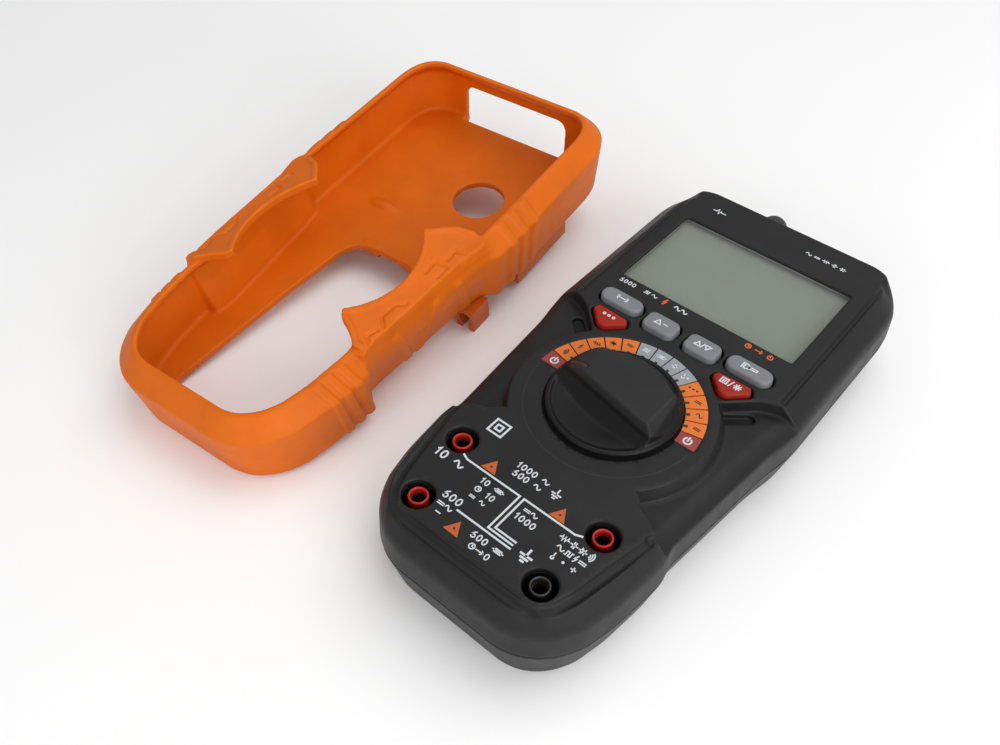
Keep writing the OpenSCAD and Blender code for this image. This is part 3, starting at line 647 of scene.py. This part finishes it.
def rear_case():
    grid = Grid((-HEAD_HALF, -BOTTOM_Y, 0), (HEAD_HALF, TOP_Y, SEAM_Z), 0.45)
    x, y, z = grid.x, grid.y, grid.z
    outline = side_wall(grid)
    wall = outline + (SEAM_Z - z) * REAR_TAPER / SEAM_Z
    body = smax(smax(wall, -z, 1.4), z - SEAM_Z + SEAM_GAP, 0.5)
    inner = np.maximum(wall + WALL, 3.2 - z)
    for sx in (-1, 1):
        for px, py in BOSSES:
            pillar = np.hypot(x - sx * px, y - py)
            inner = np.maximum(inner, BOSS_R - pillar)
    body = np.maximum(body, -inner)
    for sx in (-1, 1):
        for px, py in BOSSES:
            hole = np.hypot(x - sx * px, y - py)
            body = smax(body, -np.maximum(hole - SCREW_HEAD_R, z - 9), 0.5)
            body = np.maximum(body, SCREW_R - hole)
    door = sd_rounded(grid.x2, grid.y2, 0, 62.6, 42.0, 63.2, 0.8)[:, :, None]
    body = smax(body, -np.maximum(door, z - 1.8), 0.3)
    bay = sd_rounded(grid.x2, grid.y2, 0, 60.2, 35.6, 50.8, 0.5)[:, :, None]
    body = np.maximum(body, -bay)
    # finger notch at the door, blank plate recess and grip lines across the back
    notch = np.sqrt((x / 7.0) ** 2 + ((y - 29.2) / 2.2) ** 2) - 1
    body = smax(body, -smax(notch * 2.2, z - 0.9, 0.5), 0.4)
    plate = sd_rounded(grid.x2, grid.y2, 0, -4, 44, 30, 3)[:, :, None]
    body = smax(body, -np.maximum(plate, z - 0.35), 0.3)
    for i in range(5):
        line = sd_rounded(grid.x2, grid.y2, 0, -34 - 4.2 * i, 34 - 1.5 * i, 1.5, 0.7)[:, :, None]
        body = smax(body, -np.maximum(line, z - 0.7), 0.4)
    verts, quads = surface(grid, body)
    thin_out(new_object("case_back", verts, quads, REAR, "meter", ["rear_case"]), 0.35)


# ---- selector knob

KNOB_MATRIX = Matrix.Rotation(KNOB_TURN, 4, "Z")


def grip_top(x, y, z):
    """The grip's flat top and the fall of its nose, z from the face."""
    return z - GRIP_H + 0.1 * (y + 3), (z - GRIP_H - (x - NOSE_X) * NOSE_FALL) / math.hypot(1, NOSE_FALL)


def knob():
    """Disc with a raised lip and a half-round grip: one straight steep flank, one round fall to the lip."""
    grid = Grid((-KNOB_R, -KNOB_R, FACE_Z - 1.4), (KNOB_R, KNOB_R, FACE_Z + 7.2), 0.22)
    x, y, z = grid.x, grid.y, grid.z - FACE_Z
    radius = np.hypot(x, y)
    disc = smax(radius - KNOB_R, z - 2.05, 1.0)
    disc = smax(disc, 0.35 - z, 0.5)
    dish = smax(radius - 17.9 + 0.35 * (2.1 - z), 0.75 + 0.75 * ramp(radius, 9, 17) - z, 0.8)
    disc = smax(disc, -dish, 0.45)
    flank = -y - 3.0 - 0.09 * x - (GRIP_H - z) * 0.42 - 2.2 * ramp(6.0 - z, 2.2, 5.4)
    low_side = flank / math.hypot(1, 0.42)
    high_side = (radius - 14.3 - (GRIP_H - z) * 0.36 - 2.6 * ramp(np.abs(x), 8, 16)) / math.hypot(1, 0.36)
    side = smax(low_side, high_side, 0.3)
    ends = radius - 18.1
    top, nose = grip_top(x, y, z)
    thumb = (z - 7.1 + (x - 14.6) * 0.8 + 0.22 * (y + 4)) / math.hypot(1, 0.83)
    bar = smax(smax(side, ends, 0.8), smax(smax(top, thumb, 0.35), nose, 0.6), 0.7)
    bar = np.maximum(bar, 0.6 - z)
    shape = smin(disc, bar, 1.3)
    mark = np.maximum(np.maximum(np.abs(y) - 0.95, np.abs(x - MARK_X) - 3.05), 4.2 - z)
    shape = smax(shape, -mark, 0.15)
    hub = np.maximum(radius - 14.9, np.abs(z + 0.5) - 1.2)
    shape = np.minimum(shape, hub)
    verts, quads = surface(grid, shape)
    made = new_object(
        "dial_knob", verts, quads, KNOB, "dial", ["selector_knob"], matrix=KNOB_MATRIX
    )
    thin_out(made, 0.45)


def pointer():
    """Painted inlay that follows the fall of the grip towards its tip."""
    grid = Grid((-16.9, -0.9, FACE_Z + 4.3), (-10.9, 0.9, FACE_Z + 7.2), 0.15)
    x, y, z = grid.x, grid.y, grid.z - FACE_Z
    top = smax(*grip_top(x, y, z), 0.6)
    plan = np.maximum(np.abs(y) - 0.85, np.abs(x - MARK_X) - 2.95)
    shape = np.maximum(plan, np.maximum(top + 0.04, 4.3 - z))
    verts, quads = surface(grid, shape)
    new_object(
        "dial_pointer", verts, quads, SHADED_POINTER_INK, "dial", ["knob_pointer"], matrix=KNOB_MATRIX
    )


# ---- keys


def key_cap(name, measure, plan, low, high, top, crown, material):
    """Moulded key: a plan outline with a soft crowned top."""
    grid = Grid((low[0], low[1], FACE_Z - 3.7), (high[0], high[1], top + 0.2), 0.2)
    outline = (measure(grid.x2, grid.y2, *plan) + 0.1)[:, :, None]
    draft = outline + 0.07 * (grid.z - FACE_Z + 3)
    across = (grid.x - (low[0] + high[0]) / 2) / (high[0] - low[0])
    along = (grid.y - (low[1] + high[1]) / 2) / (high[1] - low[1])
    dome = crown * (across ** 2 + along ** 2)
    shape = smax(draft, grid.z - top + dome, 0.8)
    shape = smax(shape, FACE_Z - 3.7 - grid.z, 0.2)
    verts, quads = surface(grid, shape)
    new_object(f"cap_{name}", verts, quads, material, f"{name}_key", [f"key_{name}"])


def keys():
    for name, pill in PILLS.items():
        cx, cy, w, h, _ = pill
        low, high = (cx - w / 2, cy - h / 2), (cx + w / 2, cy + h / 2)
        key_cap(name, sd_rounded, pill, low, high, FACE_Z + 1.6, 0.45, KEY_GREY)
    for name, points in (("hold", RED_KEY), ("select", flipped(RED_KEY))):
        low, high = np.min(points, 0), np.max(points, 0)
        rounded = (soften(points, 1.0),)
        key_cap(name, sd_polygon, rounded, low, high, FACE_Z + 1.25, 0.6, KEY_RED)


# ---- turned pieces


def lathe(name, profile, at, material, body, replaces, axis="Z"):
    """Solid of revolution from a closed (radius, height) profile, with rounded corners."""
    turns, rounded = 64, soften(profile, 0.22, 4)
    verts, faces = [], []
    for i in range(turns):
        a = 2 * math.pi * i / turns
        for r, h in rounded:
            point = (r * math.cos(a), r * math.sin(a), h)
            if axis == "Y":
                point = (point[0], point[2], point[1])
            verts.append(tuple(p + q for p, q in zip(point, at)))
    n = len(rounded)
    for i in range(turns):
        for j in range(n):
            a, b = i * n + j, i * n + (j + 1) % n
            c, d = ((i + 1) % turns) * n + (j + 1) % n, ((i + 1) % turns) * n + j
            faces.append((a, d, c, b) if axis == "Z" else (a, b, c, d))
    return new_object(name, verts, faces, material, body, replaces)


def jacks():
    tube = [
        (2.5, 9.0), (2.5, 28.1), (2.08, 28.1), (2.08, 30.1), (2.28, 30.4), (2.62, 30.4), (2.8, 30.1),
        (2.8, 9.0),
    ]
    well = [(0.3, 8.2), (0.3, 9.0), (4.55, 9.0), (4.55, 28.8), (5.55, 28.8), (5.55, 8.2)]
    for name, (jx, jy) in JACKS.items():
        common = name == "common"
        node = "jack_tube_black" if common else "jack_tubes_red"
        plastic, slot = (JACK_BLACK, "jack_black") if common else (JACK_RED, "jack_red")
        lathe(f"jack_ring_{name}", tube, (jx, jy, 0), plastic, "meter", [node])
        lathe(f"jack_well_{name}", well, (jx, jy, 0), WELL, "meter", ())


def sensor_dome():
    rim = [
        (0.01, 4.8), (0.01, 4.3), (3.4, 1.0), (3.4, -5.3), (4.75, -5.3), (4.78, 0.0), (4.55, 1.5),
        (3.9, 2.8), (2.8, 3.9), (1.4, 4.6),
    ]
    place = (DOME_X, TOP_Y - 0.2, DOME_Z)
    lathe("top_dome", rim, place, DOME, "meter", ["sensor_dome"], axis="Y")


# ---- printed marks


def arc(cx, cy, rx, ry, start=0, end=360, steps=18):
    """Points of an ellipse arc, angles in degrees."""
    turn = np.radians(np.linspace(start, end, steps))
    return [(cx + rx * math.cos(a), cy + ry * math.sin(a)) for a in turn]


def loop(cx, cy, rx, ry, steps=18):
    return arc(cx, cy, rx, ry, 0, 360 * (steps - 1) / steps, steps), True


def line(*points):
    return list(points), False


def closed(*points):
    return list(points), True


WAVE = [(t, 0.5 + 0.3 * math.sin(2 * math.pi * t)) for t in np.linspace(0, 1, 17)]
SUN = [
    line(*[(0.5 + r * math.cos(a), 0.5 + r * math.sin(a)) for r in (0.3, 0.48)])
    for a in np.radians(np.arange(0, 360, 45))
]
# strokes on a field one unit high, with the width each one takes
GLYPHS = {
    "0": (0.62, [loop(0.31, 0.5, 0.25, 0.42)]),
    "1": (0.42, [line((0.06, 0.72), (0.26, 0.92), (0.26, 0.08))]),
    "6": (0.62, [loop(0.31, 0.3, 0.25, 0.25),
                 line((0.06, 0.3), (0.08, 0.52), (0.16, 0.7), (0.28, 0.83), (0.42, 0.94))]),
    "wave": (1.0, [(WAVE, False)]),
    "direct": (1.0, [line((0.05, 0.64), (0.95, 0.64)), line((0.05, 0.36), (0.27, 0.36)),
                     line((0.39, 0.36), (0.61, 0.36)), line((0.73, 0.36), (0.95, 0.36))]),
    "resistor": (1.2, [line((0, 0.5), (0.15, 0.5), (0.24, 0.8), (0.42, 0.2), (0.6, 0.8), (0.78, 0.2),
                            (0.96, 0.8), (1.05, 0.5), (1.2, 0.5))]),
    "capacitor": (0.9, [line((0, 0.5), (0.34, 0.5)), line((0.34, 0.12), (0.34, 0.88)),
                        line((0.56, 0.12), (0.56, 0.88)), line((0.56, 0.5), (0.9, 0.5))]),
    "diode": (1.0, [line((0, 0.5), (1, 0.5)), closed((0.28, 0.18), (0.28, 0.82), (0.66, 0.5)),
                    line((0.7, 0.16), (0.7, 0.84))]),
    "sound": (0.8, [(arc(0, 0.5, r, r, -50, 50, n), False) for r, n in ((0.22, 6), (0.46, 8), (0.7, 10))]),
    "square": (1.0, [line((0, 0.2), (0.18, 0.2), (0.18, 0.8), (0.5, 0.8), (0.5, 0.2), (0.82, 0.2),
                          (0.82, 0.8), (1, 0.8))]),
    "earth": (1.0, [line((0.5, 1), (0.5, 0.5)), line((0.08, 0.5), (0.92, 0.5)),
                    line((0.24, 0.27), (0.76, 0.27)), line((0.4, 0.05), (0.6, 0.05))]),
    "fuse": (1.5, [closed((0.3, 0.28), (0.3, 0.72), (1.2, 0.72), (1.2, 0.28)), line((0, 0.5), (1.5, 0.5))]),
    "power": (0.9, [(arc(0.45, 0.45, 0.38, 0.38, 125, 415, 16), False), line((0.45, 0.45), (0.45, 0.95))]),
    "clock": (0.9, [loop(0.45, 0.5, 0.4, 0.4), line((0.45, 0.76), (0.45, 0.5), (0.64, 0.42))]),
    "thermometer": (0.5, [loop(0.25, 0.22, 0.18, 0.18), line((0.25, 0.4), (0.25, 0.96))]),
    "bolt": (0.5, [line((0.36, 1), (0.12, 0.48), (0.4, 0.52), (0.16, 0))]),
    "delta": (1.0, [closed((0.05, 0.12), (0.95, 0.12), (0.5, 0.92))]),
    "plus": (0.7, [line((0.05, 0.5), (0.65, 0.5)), line((0.35, 0.2), (0.35, 0.8))]),
    "minus": (0.7, [line((0.05, 0.5), (0.65, 0.5))]),
    "arrow": (1.2, [line((0, 0.5), (1.1, 0.5)), line((0.8, 0.78), (1.12, 0.5), (0.8, 0.22))]),
    "both_ways": (2.2, [line((0.1, 0.5), (2.1, 0.5)), line((0.5, 0.86), (0.08, 0.5), (0.5, 0.14)),
                        line((1.7, 0.86), (2.12, 0.5), (1.7, 0.14))]),
    "up_down": (2.3, [closed((0.1, 0.16), (0.9, 0.16), (0.5, 0.88)), line((1.02, 0.1), (1.28, 0.9)),
                      closed((1.4, 0.84), (2.2, 0.84), (1.8, 0.12))]),
    "pulse": (2.0, [line((0, 0.4), (0.5, 0.4), (0.68, 1.0), (0.95, -0.05), (1.15, 0.62), (1.3, 0.4),
                         (2.0, 0.4))]),
    "select": (2.0, [loop(x, 0.5, 0.16, 0.16, 10) for x in (0.28, 1.0, 1.72)]),
    "hold": (1.0, [closed((0.06, 0.08), (0.94, 0.08), (0.94, 0.92), (0.06, 0.92)),
                   line((0.36, 0.3), (0.36, 0.7)), line((0.64, 0.3), (0.64, 0.7))]),
    "slash": (0.4, [line((0.05, 0.0), (0.35, 1.0))]),
    "sun": (1.0, [loop(0.5, 0.5, 0.16, 0.16, 10)] + SUN),
    "torch": (2.0, [line((0.05, 0.08), (0.05, 0.92)),
                    closed((0.3, 0.12), (0.3, 0.88), (0.62, 0.88), (0.92, 0.66), (0.92, 0.34),
                           (0.62, 0.12)),
                    closed((0.92, 0.36), (0.92, 0.64), (1.9, 0.64), (1.9, 0.36))]),
    "disc": (0.4, [loop(0.2, 0.5, 0.1, 0.1, 8)]),
    "space": (0.5, []),
}


class Print:
    """Flat ribbons of ink collected into one thin mesh."""

    def __init__(self, height, thick=0.06):
        self.low, self.high = height - 0.08, height + thick
        self.verts, self.faces = [], []

    def stroke(self, points, width, is_closed=False):
        pts = [np.array(p, float) for p in points]
        n, half, sides = len(pts), width / 2, []
        for i, p in enumerate(pts):
            ahead = pts[(i + 1) % n] - p if is_closed or i < n - 1 else p - pts[i - 1]
            behind = p - pts[i - 1] if is_closed or i else ahead
            ahead, behind = ahead / np.linalg.norm(ahead), behind / np.linalg.norm(behind)
            normal = np.array([-(ahead + behind)[1], (ahead + behind)[0]])
            size = np.linalg.norm(normal)
            normal = normal / size if size > 1e-6 else np.array([-ahead[1], ahead[0]])
            reach = half / max(0.45, float(normal @ np.array([-ahead[1], ahead[0]])))
            tip = (0 if is_closed or 0 < i < n - 1 else half * 0.8) * (ahead if i else -ahead)
            sides.append((p + normal * reach + tip, p - normal * reach + tip))
        base = len(self.verts)
        for left, right in sides:
            for z in (self.high, self.low):
                self.verts += [(*left, z), (*right, z)]
        for i in range(n if is_closed else n - 1):
            a, b = base + 4 * i, base + 4 * ((i + 1) % n)
            self.faces += [(a, a + 1, b + 1, b), (a + 2, b + 2, b + 3, a + 3), (a, b, b + 2, a + 2),
                           (a + 1, a + 3, b + 3, b + 1)]
        if not is_closed:
            last = base + 4 * (n - 1)
            self.faces += [(base, base + 2, base + 3, base + 1), (last, last + 1, last + 3, last + 2)]

    def row(self, words, cx, cy, height, weight=0.17, gap=0.22):
        """Glyphs side by side, centred on a point, from their names."""
        words = words.split()
        total = sum(GLYPHS[w][0] for w in words) + gap * (len(words) - 1)
        start = -total / 2
        for word in words:
            wide, strokes = GLYPHS[word]
            for points, is_closed in strokes:
                placed = [(cx + height * (start + x), cy + height * (y - 0.5)) for x, y in points]
                self.stroke(placed, weight * height, is_closed)
            start += wide + gap

    def make(self, name, material, body):
        return new_object(name, self.verts, self.faces, material, body, (), smooth=False)


# legends of the face: symbols, centre, height, weight of the stroke and, where given, the gap between them
FACE_ROWS = [
    ("1 0 space wave", -21.7, -43.7, 2.9, 0.17),
    ("6 0 0", -12.4, -52.6, 2.5, 0.16),
    ("direct wave", -12.4, -55.7, 2.1, 0.17),
    ("minus", -12.4, -58.2, 2.2, 0.18),
    ("1 0 space fuse", -7.0, -43.4, 2.0, 0.17),
    ("clock space 1 0", -7.2, -46.3, 2.0, 0.16),
    ("direct space wave", -7.4, -49.0, 1.7, 0.18),
    ("1 0 0 0 space wave", -1.6, -33.3, 2.1, 0.17),
    ("6 0 0 space wave", -1.6, -36.0, 2.1, 0.17),
    ("earth", 6.9, -34.5, 3.2, 0.14),
    ("direct wave", 5.6, -43.3, 1.9, 0.17),
    ("1 0 0 0", 6.0, -46.0, 2.1, 0.17),
    ("earth", 12.6, -53.6, 4.0, 0.15),
    ("resistor capacitor diode sound", 20.6, -43.6, 2.3, 0.15),
    ("wave square bolt direct", 20.9, -46.4, 2.1, 0.16),
    ("thermometer space disc space plus", 20.7, -49.2, 2.1, 0.17),
    ("6 0 0 space fuse", 3.2, -57.2, 2.1, 0.17),
    ("clock arrow 0", 3.0, -60.1, 2.0, 0.16),
    ("pulse", -23.2, 93.6, 2.3, 0.17),
    ("wave direct resistor capacitor diode", 16.2, 93.6, 1.9, 0.17, 0.55),
    ("6 0 0 0", -26.2, 43.9, 1.8, 0.17),
    ("square wave", -17.6, 43.9, 1.8, 0.17, 0.5),
    ("wave wave", -6.6, 43.9, 2.2, 0.2, 0.0),
]


def face_legends():
    white = Print(FACE_Z)
    for legend in FACE_ROWS:
        white.row(*legend)
    white.make("legend_white", PRINT_WHITE, "meter")
    # painted shadow: a thin dark ribbon in the jack-well colour stands in for the shade in the engraved
    # ring below the dial
    groove_shadow_line = Print(FACE_Z, 0.02)
    groove_shadow_line.stroke(arc(0, 0, 25.4, 25.4, 184, 356, 60), 0.34)
    groove_shadow_line.make("painted_groove_shadow", WELL, "meter")

    title = Print(FACE_Z)
    title.row("bolt", -12.4, 43.9, 2.4, 0.2)
    title.row("clock arrow power", 20.4, 44.2, 2.1, 0.18, gap=0.7)
    title.make("legend_orange", PRINT_TITLE, "meter")

    # a plain dark dot inside each amber triangle
    dark = Print(FACE_Z + 0.06, 0.02)
    for tx, ty in ((-11.4, -38.8), (11.5, -39.0), (-6.0, -59.3)):
        dark.row("disc", tx, ty + 0.15, 1.7, 0.2)
    # notches of the function band, and the symbols of its orange cells
    orange = {1: "sound", 2: "bolt", 3: "resistor", 4: "diode", 5: "direct",
              10: "disc disc disc", 11: "direct", 12: "wave", 13: "direct"}
    grey = {6: "square", 7: "fuse", 8: "capacitor", 9: "thermometer disc"}
    cells = Print(FACE_Z, 0.03)
    pale = Print(FACE_Z, 0.03)
    for cell in range(15):
        a = math.pi - CELL_STEP * (cell + 0.5)
        out = np.array([math.cos(a), math.sin(a)])
        if cell not in (0, 14):
            cells.stroke([out * 19.95, out * 20.75], 0.9)
        spot = out * 23.6
        if cell in orange:
            cells.row(orange[cell], *spot, 2.0, 0.17)
        elif cell in grey:
            pale.row(grey[cell], *spot, 2.0, 0.17)
        else:
            pale.row("power", *(out * 22.9), 2.9, 0.17)
    dark.make("legend_dots", PRINT_BLACK, "meter")
    cells.make("legend_band_dark", PRINT_BLACK, "meter")
    pale.make("legend_band_pale", PRINT_WHITE, "meter")

    # each key carries its own symbol, just proud of its crowned top
    for name, words, height in (
        ("range", "both_ways", 2.2), ("relative", "delta minus", 2.3), ("minmax", "up_down", 2.4),
        ("torch", "torch", 2.5),
    ):
        cx, cy = PILLS[name][:2]
        mark = Print(FACE_Z + 1.58)
        mark.row(words, cx, cy, height, 0.17)
        mark.make(f"symbol_{name}", PRINT_WHITE, f"{name}_key")
    for name, words, cx in (("select", "select", -21.2), ("hold", "hold slash sun", 21.2)):
        mark = Print(FACE_Z + 1.2)
        mark.row(words, cx, 26.7, 2.3, 0.17)
        mark.make(f"symbol_{name}", PRINT_WHITE, f"{name}_key")


# ---- holster

HOLSTER_MATRIX = (
    Matrix.Translation((HOLSTER_AT[0] * MM, HOLSTER_AT[1] * MM, 0))
    @ Matrix.Rotation(HOLSTER_TURN, 4, "Z")
    @ Matrix.Translation((0, HEEL_Y * MM, 0))
    @ Matrix.Rotation(HOLSTER_TILT, 4, "X")
    @ Matrix.Translation((0, -HEEL_Y * MM, 0))
)
GRIP_HALF = [
    (18, 14), (22.8, 20.2), (30.2, 28.2), (36, 30.4), (46, 29), (46, 2), (44, -27), (36, -27.6),
    (33.6, -28.2), (31, -25.8), (27.6, -23.6), (24.6, -22.4), (22.4, -19), (18, -17),
]
BACK_WINDOW = [
    (18, -62), (22.8, -56), (19.2, -10), (16, 17), (13.4, 22), (9, 24), (-9, 24), (-13.4, 22), (-16, 17),
    (-19.2, -10), (-22.8, -56), (-18, -62),
]
HOOKS = [
    [(33.4, 7), (33.2, 12.5), (37.2, 13), (37.4, 8)],
    [(35.6, 15.5), (35.2, 20), (39.2, 21), (39.6, 16.5)],
    [(36.2, -6), (33.6, -9), (33.4, -14.5), (36.2, -17)],
    [(35.4, -19), (34.2, -22.8), (37.2, -24.4)],
]
FACET_H = 6.1
FACET_Z = HOLSTER_H - FACET_H


def band(value, half, edge=0.35):
    """1 where value is within half of zero, with a short slope at each side."""
    return 1 - ramp(np.abs(value), half - edge, half + edge)


def holster():
    reach = HOLSTER_OUT
    wide = HEAD_HALF + reach + 1
    grid = Grid((-wide, -BOTTOM_Y - reach, -3), (wide, TOP_Y + reach, HOLSTER_H + 4.6), 0.45)
    x, y, z = grid.x, grid.y, grid.z
    inside = side_wall(grid)
    side = np.abs(x)

    # raised ribs across the walls, which also show in the outline
    ribs = np.maximum.reduce([band(y - at, 1.7) for at in (38.5, 44.8, 51.1)]) * ramp(side, 36, 40)
    for i in range(3):
        ribs = np.maximum(ribs, band(y + 34.2 + 4.6 * i + 0.2 * (z - 20), 1.5) * ramp(side, 28, 32))
    for at, lean in ((-13, 0.35), (2, -0.3), (15, 0.35)):
        slanted = band(y - at + lean * (z - 16), 1.6) * ramp(side, 30, 34) * (1 - ramp(z, 20, 22))
        ribs = np.maximum(ribs, 0.8 * slanted)
    waist = ramp(y, -29.6, -28.2) * (1 - ramp(y, 26, 32))
    plain = inside - reach + 1.5 * waist
    outer = plain - 0.75 * ribs

    # outside: sloped rim at the head and foot, plain edge at the waist, walls that lean in towards the back
    facet_w = 5.7 * (1 - waist) + (0.5 + 1.6 * ramp(y, -20, 22)) * waist
    facet = (outer * FACET_H + (z - FACET_Z) * facet_w) / np.hypot(FACET_H, facet_w)
    lean_in = 2.2 * (1 - np.clip(z / FACET_Z, 0, 1)) + 2.8 * waist * (1 - np.clip(z / 14, 0, 1))
    body = smax(smax(outer + lean_in, facet, 0.5), z - HOLSTER_H, 0.5)
    body = smax(body, -z, 1.6)

    # inside: straight wall that turns in under the rim
    under = (inside - 0.2 + (z - HOLSTER_H + 7.6) * 0.95) / math.hypot(1, 0.95)
    cavity = smax(plain + lean_in + 2.1, under, 0.7)
    cavity = np.minimum(cavity, inside + 5.5)
    cavity = smax(cavity, HOLSTER_BACK - z, 1.6)
    body = smax(body, -cavity, 0.4)

    # grips that reach over the waist to the dial pad and rise towards it, with a raised border
    grip_plan = both_sides(grid, sd_polygon, soften(GRIP_HALF, 1.2))
    radius = np.hypot(x, y)
    grip_plan = smax(grip_plan, PAD_R + 1.0 - radius, 0.5)
    hooks = np.minimum.reduce([both_sides(grid, sd_polyline, path) for path in HOOKS])
    top = HOLSTER_H + 0.1 + 0.2126 * (39 - side)
    border = (1 - ramp(-grip_plan, 1.8, 2.2)) * (1 - ramp(side, 35.5, 36.5))
    face = top + 0.6 * border - 0.7 * (1 - ramp(hooks, 0.35, 0.7))
    plate = smax(smax(grip_plan, (z - face) * 0.9, 0.45), (top - 2.6 - z) * 0.97, 0.5)
    plate = smax(plate, smax(outer + 0.1, facet, 0.3), 0.3)
    body = smin(body, plate, 0.6)

    # openings in the back and in the display end
    back = sd_polygon(grid.x2, grid.y2, soften(BACK_WINDOW, 2.5))[:, :, None]
    body = smax(body, -np.maximum(back, z - HOLSTER_BACK - 1.2), 0.5)
    hole = np.hypot(x - 10.3, y - 64.5) - 9.5
    body = smax(body, -np.maximum(hole, z - HOLSTER_BACK - 1.2), 0.5)
    end = sd_rounded(x, z, 0, 7.2, 46, 17, 4.0)
    body = smax(body, -np.maximum(end, TOP_Y - 4.5 - y), 0.5)

    # ridge moulded on the floor and the two tabs under the edge of the opening
    ridge = np.sqrt(((x + 18) / 6.4) ** 2 + ((y - 43.5) / 2.4) ** 2 + ((z - 2.2) / 1.5) ** 2) - 1
    body = smin(body, ridge * 1.4, 0.6)
    for tx in (-8.5, 8.5):
        tab = smax(np.maximum(np.abs(x - tx) - 3.4, np.abs(y - 25.4) - 1.3), np.abs(z - 0.4) - 2.4, 0.5)
        body = smin(body, tab, 0.5)
    verts, quads = surface(grid, body)
    made = new_object(
        "soft_holster", verts, quads, ORANGE, "holster", ["holster_shell"],
        matrix=HOLSTER_MATRIX,
    )
    thin_out(made, 0.45)


# ---- floor, light and camera


def stage():
    floor_mesh = bpy.data.meshes.new("floor")
    floor_mesh.from_pydata([(-4, -4, 0), (4, -4, 0), (4, 4, 0), (-4, 4, 0)], [], [(0, 1, 2, 3)])
    f = Finish("floor_paper", Specular_IOR_Level=0.2)
    colour = f.colours(f.noise(400, 2), [(0.3, (246, 246, 246)), (0.7, (250, 250, 250))])
    floor_mesh.materials.append(f.set(Base_Color=colour, Roughness=f.spread(f.noise(30), 0.8, 0.9)))
    floor = bpy.data.objects.new("floor", floor_mesh)
    bpy.context.scene.collection.objects.link(floor)


LIGHT_TARGET = Vector((-0.03, 0.0, 0.02))


def area_light(name, place, size, power):
    data = bpy.data.lights.new(name, "AREA")
    data.shape = "RECTANGLE"
    data.size, data.size_y = size
    data.energy = power
    lamp = bpy.data.objects.new(name, data)
    lamp.location = place
    lamp.rotation_euler = (LIGHT_TARGET - Vector(place)).to_track_quat("-Z", "Y").to_euler()
    bpy.context.scene.collection.objects.link(lamp)


def lights():
    bpy.context.scene.view_settings.view_transform = "Standard"
    world = bpy.data.worlds.new("studio")
    bpy.context.scene.world = world
    world.use_nodes = True
    background = world.node_tree.nodes["Background"]
    background.inputs["Color"].default_value = (1, 1, 1, 1)
    background.inputs["Strength"].default_value = 0.46
    area_light("key", (0.15, 0.35, 0.95), (0.9, 0.9), 4.8)
    area_light("fill_right", (0.9, -0.3, 0.45), (0.8, 0.6), 6.2)
    area_light("fill_front", (0.1, -0.95, 0.4), (0.9, 0.5), 2.2)


LENS = 34.12
EYE = Vector((86.70, -152.15, 230.45)) * MM
AIM = Vector((-31.59, -11.69, FACE_Z)) * MM
ROLL = math.radians(0.59)


def camera():
    data = bpy.data.cameras.new("view")
    data.lens = LENS
    data.sensor_width = 36
    data.clip_start = 0.01
    shot = bpy.data.objects.new("view", data)
    turn = (AIM - EYE).to_track_quat("-Z", "Y").to_matrix().to_4x4()
    shot.matrix_world = Matrix.Translation(EYE) @ turn @ Matrix.Rotation(ROLL, 4, "Z")
    bpy.context.scene.collection.objects.link(shot)
    bpy.context.scene.camera = shot


camera()
lights()
stage()
front_case()
rear_case()
knob()
pointer()
keys()
jacks()
sensor_dome()
face_legends()
holster()
